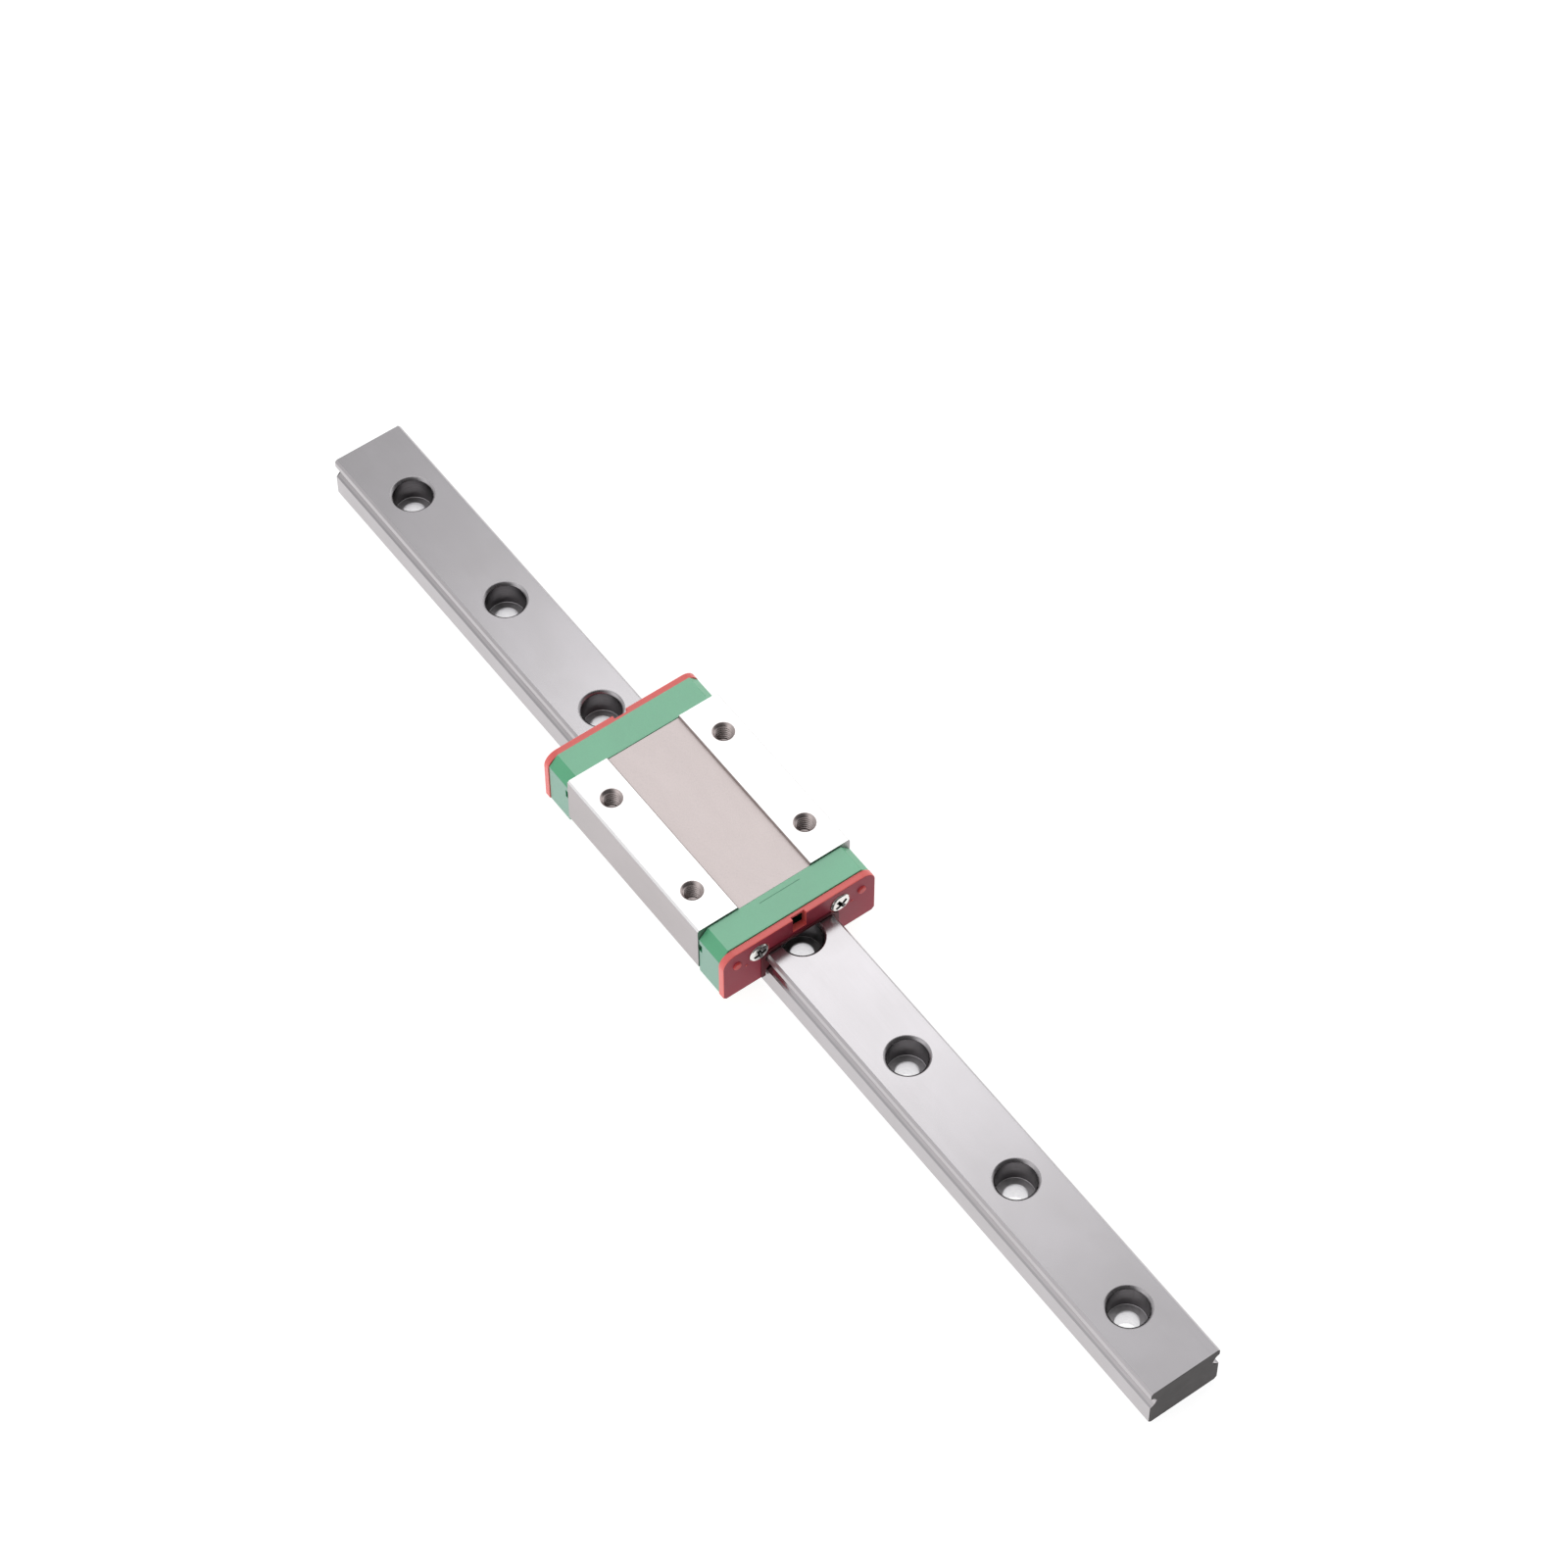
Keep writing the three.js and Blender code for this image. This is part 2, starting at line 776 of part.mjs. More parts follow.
for (const [side, s] of [
  ["left", 1],
  ["right", -1],
]) {
  put(carriage, `retaining_wire_${side}`, makeWire(s), steel(0xd4d0c6, 0.2));
  put(carriage, `return_balls_${side}`, makeReturnChain(s), steel(0xc8c8cc, 0.08));
  for (let i = 0; i < LOAD_BALLS; i++)
    put(
      carriage,
      `ball_${side}_${String(i + 1).padStart(2, "0")}`,
      ballGeometry.clone(),
      steel(0xc8c8cc, 0.08),
      (m) =>
        m.position.set(
          (i - (LOAD_BALLS - 1) / 2) * LOAD_PITCH,
          s * RACE_Y,
          RACE_Z,
        ),
    );
}

export default guide;
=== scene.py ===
import math

import bmesh
import bpy
from mathutils import Matrix, Vector


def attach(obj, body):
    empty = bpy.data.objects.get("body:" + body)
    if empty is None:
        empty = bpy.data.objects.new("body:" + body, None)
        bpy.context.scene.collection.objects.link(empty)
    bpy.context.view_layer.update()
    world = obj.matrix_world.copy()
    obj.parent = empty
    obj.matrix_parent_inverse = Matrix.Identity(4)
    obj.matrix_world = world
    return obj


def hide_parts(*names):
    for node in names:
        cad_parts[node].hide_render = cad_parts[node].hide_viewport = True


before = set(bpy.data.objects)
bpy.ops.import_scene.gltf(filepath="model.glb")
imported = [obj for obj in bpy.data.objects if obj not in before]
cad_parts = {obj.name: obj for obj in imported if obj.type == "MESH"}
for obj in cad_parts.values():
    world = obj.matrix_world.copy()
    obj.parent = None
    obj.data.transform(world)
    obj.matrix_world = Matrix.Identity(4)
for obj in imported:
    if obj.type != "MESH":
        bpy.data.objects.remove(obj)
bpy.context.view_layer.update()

CARRIAGE_X = -10.5  # middle of the carriage along the rail, mm
scene = bpy.context.scene
D = math.radians

# ------------------------------------------------------------------ camera
cam_d = bpy.data.cameras.new("camera")
cam = bpy.data.objects.new("camera", cam_d)
scene.collection.objects.link(cam)
cam_d.sensor_width = 36
cam_d.lens = 116.9
cam_d.clip_start = 0.01
cam_d.clip_end = 20
cx = Vector((0.5918, 0.8061, -0.001)).normalized()
cz = Vector((0.4631, -0.339, 0.8189)).normalized()
cy = cz.cross(cx).normalized()
cx = cy.cross(cz).normalized()
cam.matrix_world = Matrix(
    (
        (cx.x, cy.x, cz.x, 0.3342),
        (cx.y, cy.y, cz.y, -0.2387),
        (cx.z, cy.z, cz.z, 0.6176),
        (0, 0, 0, 1),
    )
)
scene.camera = cam
scene.view_settings.view_transform = "Standard"

# ------------------------------------------------------------------ mesh tools (all in mm until finish_piece)


def make(name, verts, faces):
    me = bpy.data.meshes.new(name)
    me.from_pydata([tuple(v) for v in verts], [], faces)
    me.update()
    bm = bmesh.new()
    bm.from_mesh(me)
    bmesh.ops.remove_doubles(bm, verts=bm.verts, dist=1e-5)
    bmesh.ops.recalc_face_normals(bm, faces=bm.faces)
    bm.to_mesh(me)
    bm.free()
    ob = bpy.data.objects.new(name, me)
    scene.collection.objects.link(ob)
    return ob


def arc(cy_, cz_, r, a0, a1, steps):
    return [
        (
            cy_ + r * math.cos(D(a0 + (a1 - a0) * i / steps)),
            cz_ + r * math.sin(D(a0 + (a1 - a0) * i / steps)),
        )
        for i in range(steps + 1)
    ]


def fillet(poly, r, segs=3, min_turn=18):
    """Rounds the corners of a closed 2-D outline. A point may carry its own radius as a third value."""
    out = []
    n = len(poly)
    for i in range(n):
        p = Vector(poly[i][:2])
        a = Vector(poly[i - 1][:2])
        b = Vector(poly[(i + 1) % n][:2])
        rr = poly[i][2] if len(poly[i]) > 2 else r
        u, v = (a - p), (b - p)
        la, lb = u.length, v.length
        u.normalize()
        v.normalize()
        turn = math.pi - u.angle(v, 0)
        if turn < D(min_turn) or rr <= 0:
            out.append((p.x, p.y))
            continue
        t = rr * math.tan(turn / 2)
        t = min(t, la * 0.45, lb * 0.45)
        rr = t / math.tan(turn / 2)
        bis = (u + v).normalized()
        c = p + bis * (rr / math.cos(turn / 2))
        s = p + u * t - c
        e = p + v * t - c
        a0 = math.atan2(s.y, s.x)
        da = math.atan2(e.y, e.x) - a0
        while da > math.pi:
            da -= 2 * math.pi
        while da < -math.pi:
            da += 2 * math.pi
        for k in range(segs + 1):
            ang = a0 + da * k / segs
            out.append((c.x + rr * math.cos(ang), c.y + rr * math.sin(ang)))
    return out


def mirror(half):
    """Full outline from its +Y half."""
    return list(half) + [tuple([-p[0]] + list(p[1:])) for p in reversed(half)]


def sweep(name, outline, x0, x1, end_bevel=0.0, which=(True, True), segs=2):
    """An outline of (y, z) points swept along X, with its end edges rounded."""
    n = len(outline)
    verts = [(x0, p[0], p[1]) for p in outline] + [(x1, p[0], p[1]) for p in outline]
    faces = [(i, (i + 1) % n, n + (i + 1) % n, n + i) for i in range(n)]
    faces += [tuple(reversed(range(n))), tuple(range(n, 2 * n))]
    ob = make(name, verts, faces)
    if end_bevel > 0:
        bm = bmesh.new()
        bm.from_mesh(ob.data)
        edges = []
        for e in bm.edges:
            xs = [v.co.x for v in e.verts]
            if (which[0] and max(xs) < x0 + 1e-4) or (which[1] and min(xs) > x1 - 1e-4):
                edges.append(e)
        bmesh.ops.bevel(
            bm,
            geom=edges,
            offset=end_bevel,
            offset_type="OFFSET",
            segments=segs,
            profile=0.5,
            affect="EDGES",
            clamp_overlap=False,
        )
        bmesh.ops.recalc_face_normals(bm, faces=bm.faces)
        bm.to_mesh(ob.data)
        bm.free()
    return ob


def lathe(name, profile, segs=64, axis="Z", at=(0, 0, 0), flip=False):
    """A closed turned solid. The profile is (radius, height) and starts and ends on the axis."""
    verts, faces, rings = [], [], []
    for r, h in profile:
        if r < 1e-6:
            rings.append([len(verts)])
            verts.append((0, 0, h))
        else:
            ring = []
            for k in range(segs):
                a = 2 * math.pi * k / segs
                ring.append(len(verts))
                verts.append((r * math.cos(a), r * math.sin(a), h))
            rings.append(ring)
    for a, b in zip(rings[:-1], rings[1:]):
        for k in range(segs):
            k2 = (k + 1) % segs
            if len(a) == 1 and len(b) == 1:
                break
            if len(a) == 1:
                faces.append((a[0], b[k], b[k2]))
            elif len(b) == 1:
                faces.append((a[k], b[0], a[k2]))
            else:
                faces.append((a[k], b[k], b[k2], a[k2]))
    out = []
    for x, y, z in verts:
        if flip:
            x, z = -x, -z
        if axis == "X":
            x, y, z = z, y, -x
        out.append((x + at[0], y + at[1], z + at[2]))
    return make(name, out, faces)


def block(name, x0, x1, y0, y1, z0, z1, bevel=0.0, segs=2):
    v = [(x, y, z) for x in (x0, x1) for y in (y0, y1) for z in (z0, z1)]
    f = [(0, 1, 3, 2), (4, 6, 7, 5), (0, 4, 5, 1), (2, 3, 7, 6), (0, 2, 6, 4), (1, 5, 7, 3)]
    ob = make(name, v, f)
    if bevel > 0:
        bm = bmesh.new()
        bm.from_mesh(ob.data)
        bmesh.ops.bevel(bm, geom=list(bm.edges), offset=bevel, segments=segs, profile=0.5, affect="EDGES")
        bm.to_mesh(ob.data)
        bm.free()
    return ob


def torus(name, c, major, minor, n=64, m=32):
    verts, faces = [], []
    for i in range(n):
        a = 2 * math.pi * i / n
        for j in range(m):
            b = 2 * math.pi * j / m
            r = major + minor * math.cos(b)
            verts.append((c[0] + r * math.cos(a), c[1] + r * math.sin(a), c[2] + minor * math.sin(b)))
    for i in range(n):
        for j in range(m):
            faces.append(
                (i * m + j, ((i + 1) % n) * m + j, ((i + 1) % n) * m + (j + 1) % m, i * m + (j + 1) % m)
            )
    return make(name, verts, faces)


def rod(name, pts, radius, sides=16, round_end=0.0):
    """A round rod along a path that stays at one height."""
    verts, faces, rings = [], [], []
    pts = [Vector(p) for p in pts]
    n = len(pts)
    stations = []
    for i, p in enumerate(pts):
        t = Vector((0, 0, 0))
        if i > 0:
            t += (p - pts[i - 1]).normalized()
        if i + 1 < n:
            t += (pts[i + 1] - p).normalized()
        stations.append((p, t.normalized(), radius))
    if round_end > 0:
        p, t, r = stations[0]
        stations[0:1] = [(p, t, radius - round_end), (p + t * round_end, t, radius)]
        p, t, r = stations[-1]
        stations[-1:] = [(p - t * round_end, t, radius), (p, t, radius - round_end)]
    up = Vector((0, 0, 1))
    for p, t, r in stations:
        s = t.cross(up).normalized()
        ring = []
        for k in range(sides):
            a = 2 * math.pi * (k + 0.5) / sides
            q = p + s * (r * math.cos(a)) + up * (r * math.sin(a))
            ring.append(len(verts))
            verts.append(q)
        rings.append(ring)
    for a, b in zip(rings[:-1], rings[1:]):
        for k in range(sides):
            k2 = (k + 1) % sides
            faces.append((a[k], a[k2], b[k2], b[k]))
    faces.append(tuple(reversed(rings[0])))
    faces.append(tuple(rings[-1]))
    return make(name, verts, faces)


def bake_mods(ob):
    dg = bpy.context.evaluated_depsgraph_get()
    me = bpy.data.meshes.new_from_object(ob.evaluated_get(dg))
    ob.modifiers.clear()
    old = ob.data
    ob.data = me
    bpy.data.meshes.remove(old)


def drop(ob):
    me = ob.data
    bpy.data.objects.remove(ob)
    bpy.data.meshes.remove(me)


def triangles(ob):
    bm = bmesh.new()
    bm.from_mesh(ob.data)
    bmesh.ops.triangulate(bm, faces=[f for f in bm.faces if len(f.verts) > 4], ngon_method="EAR_CLIP")
    bm.to_mesh(ob.data)
    bm.free()


def boolean(ob, tools, op="DIFFERENCE"):
    if not isinstance(tools, (list, tuple)):
        tools = [tools]
    for t in [ob] + list(tools):
        triangles(t)
    for t in tools:
        m = ob.modifiers.new("b", "BOOLEAN")
        m.operation = op
        m.object = t
        m.solver = "MANIFOLD"
        bake_mods(ob)
        triangles(ob)
    if len(ob.data.polygons) == 0:
        raise RuntimeError(f"boolean on {ob.name} left nothing")
    for t in tools:
        drop(t)
    return ob


def tidy(ob):
    """Clears boolean slivers and splits every face with more than four corners into clean triangles."""
    bm = bmesh.new()
    bm.from_mesh(ob.data)
    bmesh.ops.remove_doubles(bm, verts=bm.verts, dist=2e-4)
    bmesh.ops.dissolve_degenerate(bm, edges=bm.edges, dist=1e-4)
    big = [f for f in bm.faces if len(f.verts) > 4]
    bmesh.ops.triangulate(bm, faces=big, quad_method="BEAUTY", ngon_method="EAR_CLIP")
    bm.to_mesh(ob.data)
    bm.free()


def paint(ob, mats, chooser):
    """Gives each face the material that chooser(centre, normal) names; mats is the list, chooser returns its index."""
    ob.data.materials.clear()
    for m in mats:
        ob.data.materials.append(m)
    for p in ob.data.polygons:
        p.material_index = chooser(p.center, p.normal)


def transform(ob, turn=False, dx=0.0):
    if turn:
        ob.data.transform(Matrix.Rotation(math.pi, 4, "Z"))
    if dx:
        ob.data.transform(Matrix.Translation((dx, 0, 0)))


def finish_piece(ob, body, nodes, sharp=32, dx=0.0, weighted=True):
    ob.data.transform(Matrix.Translation((dx, 0, 0)))
    ob.data.transform(Matrix.Scale(0.001, 4))
    me = ob.data
    me.polygons.foreach_set("use_smooth", [True] * len(me.polygons))
    me.set_sharp_from_angle(angle=D(sharp))
    # every large flat face keeps one normal: an edge between it and its fillet is sharp
    bm = bmesh.new()
    bm.from_mesh(me)
    for e in bm.edges:
        if len(e.link_faces) == 2:
            f, g = e.link_faces
            if max(max(abs(v) for v in f.normal), max(abs(v) for v in g.normal)) > 0.99999 and f.normal.angle(g.normal, 0) > D(1.5):
                e.smooth = False
    bm.to_mesh(me)
    bm.free()
    if weighted:
        w = ob.modifiers.new("w", "WEIGHTED_NORMAL")
        w.keep_sharp = True
        w.weight = 60
        w.mode = "FACE_AREA"
        bake_mods(ob)
    ob.data.name = ob.name
    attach(ob, body)
    if nodes:
        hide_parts(*nodes)
    return ob


# ------------------------------------------------------------------ materials


class Mat:
    """A small builder for node materials on a Principled BSDF."""

    def __init__(self, name, base, rough, metallic=0.0):
        self.m = bpy.data.materials.new(name)
        self.m.use_nodes = True
        self.t = self.m.node_tree
        self.p = self.t.nodes["Principled BSDF"]
        self.p.inputs["Base Color"].default_value = (*base, 1)
        self.p.inputs["Roughness"].default_value = rough
        self.p.inputs["Metallic"].default_value = metallic
        self.base = base
        self.rough = rough
        self.tc = self.t.nodes.new("ShaderNodeTexCoord")
        self.heights = []

    def put(self, kind, **values):
        n = self.t.nodes.new(kind)
        for k, v in values.items():
            if k in n.inputs:
                n.inputs[k].default_value = v
            else:
                setattr(n, k, v)
        return n

    def link(self, a, b):
        self.t.links.new(a, b)

    def noise(self, stretch, detail=4.0, rough=0.55, distortion=0.0):
        mp = self.put("ShaderNodeMapping")
        mp.inputs["Scale"].default_value = stretch
        self.link(self.tc.outputs["Object"], mp.inputs["Vector"])
        n = self.put("ShaderNodeTexNoise")
        n.inputs["Scale"].default_value = 1.0
        n.inputs["Detail"].default_value = detail
        n.inputs["Roughness"].default_value = rough
        n.inputs["Distortion"].default_value = distortion
        self.link(mp.outputs["Vector"], n.inputs["Vector"])
        return n.outputs["Fac"]

    def ramp(self, fac, stops):
        r = self.put("ShaderNodeValToRGB")
        el = r.color_ramp.elements
        while len(el) < len(stops):
            el.new(0.5)
        for e, (pos, col) in zip(el, stops):
            e.position = pos
            e.color = (*col, 1) if len(col) == 3 else col
        self.link(fac, r.inputs["Fac"])
        return r.outputs["Color"]

    def mul(self, a, b, fac=1.0, mode="MULTIPLY"):
        m = self.put("ShaderNodeMix", data_type="RGBA", blend_type=mode)
        m.inputs[0].default_value = fac
        self.link(a, m.inputs[6])
        self.link(b, m.inputs[7])
        return m.outputs[2]

    def colour(self, socket):
        self.link(socket, self.p.inputs["Base Color"])

    def roughness(self, fac, lo, hi):
        r = self.put("ShaderNodeMapRange")
        r.inputs["From Min"].default_value = 0.3
        r.inputs["From Max"].default_value = 0.7
        r.inputs["To Min"].default_value = lo
        r.inputs["To Max"].default_value = hi
        self.link(fac, r.inputs["Value"])
        self.link(r.outputs["Result"], self.p.inputs["Roughness"])

    def bump(self, fac, strength, distance, last=[None]):
        b = self.put("ShaderNodeBump")
        b.inputs["Strength"].default_value = strength
        b.inputs["Distance"].default_value = distance
        self.link(fac, b.inputs["Height"])
        if self.heights:
            self.link(self.heights[-1].outputs["Normal"], b.inputs["Normal"])
        self.heights.append(b)
        self.link(b.outputs["Normal"], self.p.inputs["Normal"])


def shade(c, k):
    return tuple(min(1.0, x * k) for x in c)


def ground_steel(name, base, rough, along=(160, 5200, 5200), depth=1.0, blotch=0.06, streak=0.10, vary=1.0):
    """Steel finished on a surface grinder: fine lines along the travel, faint blotches, small bump."""
    m = Mat(name, base, rough, 1.0)
    lines = m.noise(along, 5.0, 0.6)
    fine = m.noise(tuple(a * 2.7 for a in along), 3.0, 0.6)
    patch = m.noise((90, 120, 120), 3.0, 0.55, 0.4)
    c1 = m.ramp(lines, [(0.25, shade(base, 1 - streak)), (0.5, base), (0.78, shade(base, 1 + streak * 0.7))])
    c2 = m.ramp(patch, [(0.3, (1 - blotch, 1 - blotch, 1 - blotch * 1.1)), (0.7, (1, 1, 1))])
    m.colour(m.mul(c1, c2))
    m.roughness(lines, rough * (1 - 0.15 * vary), rough * (1 + 0.25 * vary))
    m.bump(lines, 0.22 * depth, 0.00002)
    m.bump(fine, 0.12 * depth, 0.00001)
    return m.m


def raw_steel(name, base, rough, grain=(2600, 2600, 2600), depth=1.0, blotch=0.12, along=(90, 260, 260)):
    """Steel left as drawn or milled: matte, speckled, with soft cloudy variation."""
    m = Mat(name, base, rough, 1.0)
    g = m.noise(grain, 4.0, 0.65)
    cloud = m.noise(along, 4.0, 0.6, 0.6)
    c1 = m.ramp(g, [(0.3, shade(base, 0.88)), (0.5, base), (0.72, shade(base, 1.08))])
    c2 = m.ramp(cloud, [(0.28, (1 - blotch, 1 - blotch, 1 - blotch)), (0.72, (1, 1, 1))])
    m.colour(m.mul(c1, c2))
    m.roughness(g, rough * 0.88, min(1.0, rough * 1.15))
    m.bump(g, 0.3 * depth, 0.00002)
    m.bump(cloud, 0.1 * depth, 0.00004)
    return m.m


def turned_steel(name, base, rough, axis="Z", ring=9000.0, dark=0.2):
    """Steel cut by a drill or mill: fine rings round the tool's axis."""
    m = Mat(name, base, rough, 1.0)
    st = {"Z": (420, 420, ring), "X": (ring, 420, 420)}[axis]
    rings = m.noise(st, 3.0, 0.55)
    g = m.noise((1800, 1800, 1800), 3.0, 0.6)
    c1 = m.ramp(rings, [(0.3, shade(base, 1 - dark)), (0.7, shade(base, 1 + dark * 0.5))])
    c2 = m.ramp(g, [(0.3, (0.86, 0.86, 0.87)), (0.7, (1, 1, 1))])
    m.colour(m.mul(c1, c2))
    m.roughness(g, rough * 0.85, rough * 1.2)
    m.bump(rings, 0.35, 0.00003)
    return m.m


def plastic(name, base, rough, mottle=0.05, grain=0.18, coat=0.0, ior=1.5, spec=0.5, sss=0.0):
    """Injection-moulded plastic: faint flow mottling in the colour, very fine moulded grain, uneven gloss."""
    m = Mat(name, base, rough, 0.0)
    flow = m.noise((70, 55, 85), 3.0, 0.5, 1.2)
    g = m.noise((5200, 5200, 5200), 3.0, 0.6)
    c1 = m.ramp(flow, [(0.3, shade(base, 1 - mottle)), (0.7, shade(base, 1 + mottle))])
    c2 = m.ramp(g, [(0.3, (0.95, 0.95, 0.95)), (0.7, (1, 1, 1))])
    m.colour(m.mul(c1, c2))
    m.roughness(flow, rough * 0.88, rough * 1.15)
    m.bump(g, grain, 0.00002)
    m.bump(flow, 0.06, 0.0001)
    m.p.inputs["IOR"].default_value = ior
    m.p.inputs["Specular IOR Level"].default_value = spec
    if coat:
        m.p.inputs["Coat Weight"].default_value = coat
        m.p.inputs["Coat Roughness"].default_value = 0.2
    if sss:
        m.p.inputs["Subsurface Weight"].default_value = sss
        m.p.inputs["Subsurface Radius"].default_value = (0.6, 1.0, 0.8)
        m.p.inputs["Subsurface Scale"].default_value = 0.0006
    return m.m


def polished(name, base, rough, haze=0.03):
    """Bright ball or plated finish: near-mirror, with faint hazing and hairline marks."""
    m = Mat(name, base, rough, 1.0)
    h = m.noise((900, 900, 900), 4.0, 0.6)
    s = m.noise((4200, 4200, 600), 3.0, 0.6)
    c1 = m.ramp(h, [(0.3, shade(base, 1 - haze)), (0.7, shade(base, 1 + haze * 0.5))])
    m.colour(c1)
    m.roughness(s, rough * 0.7, rough * 1.5)
    m.bump(s, 0.05, 0.000005)
    return m.m


STEEL = (0.60, 0.585, 0.595)
M_RAIL_TOP = ground_steel("rail_ground_top", (0.43, 0.415, 0.427), 0.225, depth=0.04, streak=0.02, vary=0.2)
M_RAIL_SIDE = ground_steel("rail_ground_side", (0.52, 0.495, 0.508), 0.30, depth=0.3, streak=0.05, vary=0.5)
M_RAIL_GROOVE = ground_steel("rail_raceway", (0.51, 0.485, 0.495), 0.16, depth=0.2, streak=0.1, vary=0.5)
# painted shade: the near-black base darkens the cut end faces, which face away from the light
M_RAIL_END_SHADE = raw_steel("rail_cut_end_painted_shade", (0.066, 0.06, 0.06), 0.5, grain=(1500, 700, 9000), depth=1.6, blotch=0.35)
# painted shade: the counterbore wall is the same drilled steel as its floor, painted dark for the shade inside the
# recess
M_RAIL_CBORE_SHADE = turned_steel("rail_counterbore_wall_painted_shade", (0.16, 0.15, 0.155), 0.34)
M_RAIL_FLOOR = turned_steel("rail_counterbore_floor", (0.62, 0.60, 0.61), 0.4)
# painted light: the through-hole wall is near-white steel, a painted reflection of the bright floor below the rail
M_RAIL_THRU_PAINTED_LIGHT = turned_steel("rail_through_hole_painted_light", (0.92, 0.91, 0.92), 0.4, dark=0.06)
M_RAIL_CHAMFER = turned_steel("rail_hole_chamfer", (0.5, 0.48, 0.49), 0.28)

# painted highlight: the top pads are near-white steel, far brighter than the ground sides, standing in for the
# highlight on the top
M_PAD_LIT = ground_steel("block_ground_pad_painted_highlight", (0.93, 0.92, 0.92), 0.33, depth=0.4, streak=0.05, vary=0.5)
M_BAND = raw_steel("block_milled_band", (0.76, 0.68, 0.665), 0.52, blotch=0.05, depth=0.6)
M_SIDE = ground_steel("block_ground_side", (0.49, 0.452, 0.457), 0.36, depth=0.5, streak=0.06, vary=0.6)
M_FOOT = ground_steel("block_ground_foot", (0.66, 0.63, 0.63), 0.42, along=(900, 2600, 2600), depth=1.0, streak=0.1)
M_BEND = raw_steel("block_cut_end", (0.42, 0.40, 0.40), 0.42, depth=0.8)
M_CHANNEL = raw_steel("block_raw_channel", (0.33, 0.30, 0.295), 0.6, blotch=0.2, depth=1.3)
M_RACE = ground_steel("block_raceway", (0.50, 0.48, 0.49), 0.18, depth=0.4)
M_TAP = turned_steel("block_tapped_hole", (0.62, 0.54, 0.52), 0.28, dark=0.2)
# painted shade: the step walls and pad-edge chamfers beside the centre band are painted darker as the shadow lines
# there
M_STEP_SHADE = raw_steel("block_step_painted_shade", (0.46, 0.40, 0.385), 0.5)

# painted light and shade: one green plastic in lit and shaded copies by face direction. The lighter top is painted
# sheen, the greyer side is painted floor light, and the darker chamfers, ends, underside and inner faces are painted
# shade
M_GREEN = plastic("cap_green_top_painted_sheen", (0.27, 0.66, 0.42), 0.38, coat=0.3, sss=0.12)
M_GREEN_EDGE_SHADED = plastic("cap_green_chamfer_painted_shade", (0.125, 0.52, 0.27), 0.38, coat=0.2, sss=0.1)
M_GREEN_SHADED = plastic("cap_green_painted_shade", (0.042, 0.36, 0.165), 0.33, coat=0.3, sss=0.05)
M_GREEN_SIDE = plastic("cap_green_side_painted_floor_light", (0.22, 0.46, 0.345), 0.40, coat=0.2, sss=0.12)
M_MINT = plastic("guide_mint", (0.33, 0.66, 0.48), 0.38, sss=0.2)
M_SEAM = plastic("cap_parting_line", (0.16, 0.46, 0.29), 0.5)
M_RED = plastic("seal_red", (0.98, 0.165, 0.15), 0.40, mottle=0.04, coat=0.25, sss=0.08)
# painted shade: the outer face is a darker copy of the rim red, partly the face's own pinker tone and mostly painted
# shade for a face turned from the light
M_RED_FACE_SHADED = plastic("seal_face_red_painted_shade", (0.40, 0.034, 0.064), 0.46, mottle=0.06, spec=0.35, sss=0.05)
M_PIP = plastic("seal_pip_red", (0.74, 0.055, 0.055), 0.4)
# painted shade: the lip round the opening is the same red rubber, painted near-black for the shade there
M_LIP_SHADE = plastic("seal_lip_painted_shade", (0.13, 0.014, 0.022), 0.5, spec=0.3, sss=0.02)
# painted shade: near-black green for the grease port bore and the shallow well round it, standing in for the shade in
# the notch
M_PORT_SHADE = plastic("cap_port_painted_shade", (0.006, 0.034, 0.018), 0.6, spec=0.2, sss=0.0)
M_SCREW = polished("screw_nickel", (0.83, 0.81, 0.78), 0.2)
# painted shade: the cross recess is the same nickel screw, painted near-black for the shade inside it
M_RECESS_SHADE = turned_steel("screw_recess_painted_shade", (0.04, 0.038, 0.036), 0.4, axis="X")
M_WIRE = polished("wire_spring_steel", (0.80, 0.76, 0.70), 0.2)
M_BALL = polished("ball_chrome_steel", (0.78, 0.77, 0.78), 0.07)

# ------------------------------------------------------------------ dimensions shared by the pieces (mm)
RACE_Y, RACE_Z, GROOVE_R = 6.25, 5.4, 1.22
RETURN_Y, RETURN_BORE_R, TURN_TUBE_R = 10.31, 1.36, 1.34
TURN_R = (RETURN_Y - RACE_Y) / 2
TURN_Y = (RETURN_Y + RACE_Y) / 2
BALL_R = 2.381 / 2
LOAD_BALLS, LOAD_PITCH = 13, 2.405
L = 16.2
CAP_IN, CAP_OUT = 16.25, 21.2
CAP_W, CAP_TOP, CAP_BOTTOM = 13.35, 12.6, 2.95
CH_Y, CH_Z = 6.35, 8.6
SEAL_IN, SEAL_OUT = 21.25, 22.35
SEAL_W, SEAL_TOP, SEAL_BOTTOM = 13.5, 12.35, 2.56
SCREW_Y, SCREW_Z = 7.2, 9.55
PIP_Y, PIP_Z, PIP_OUT = 11.05, 9.55, 22.65
HEAD_R, HEAD_OUT = 1.65, 22.75
WIRE_Y, WIRE_Z, WIRE_R = 6.45, 6.97, 0.28
GUIDE_LOW, GUIDE_HIGH, GUIDE_R = 3.72, 7.08, 1.42


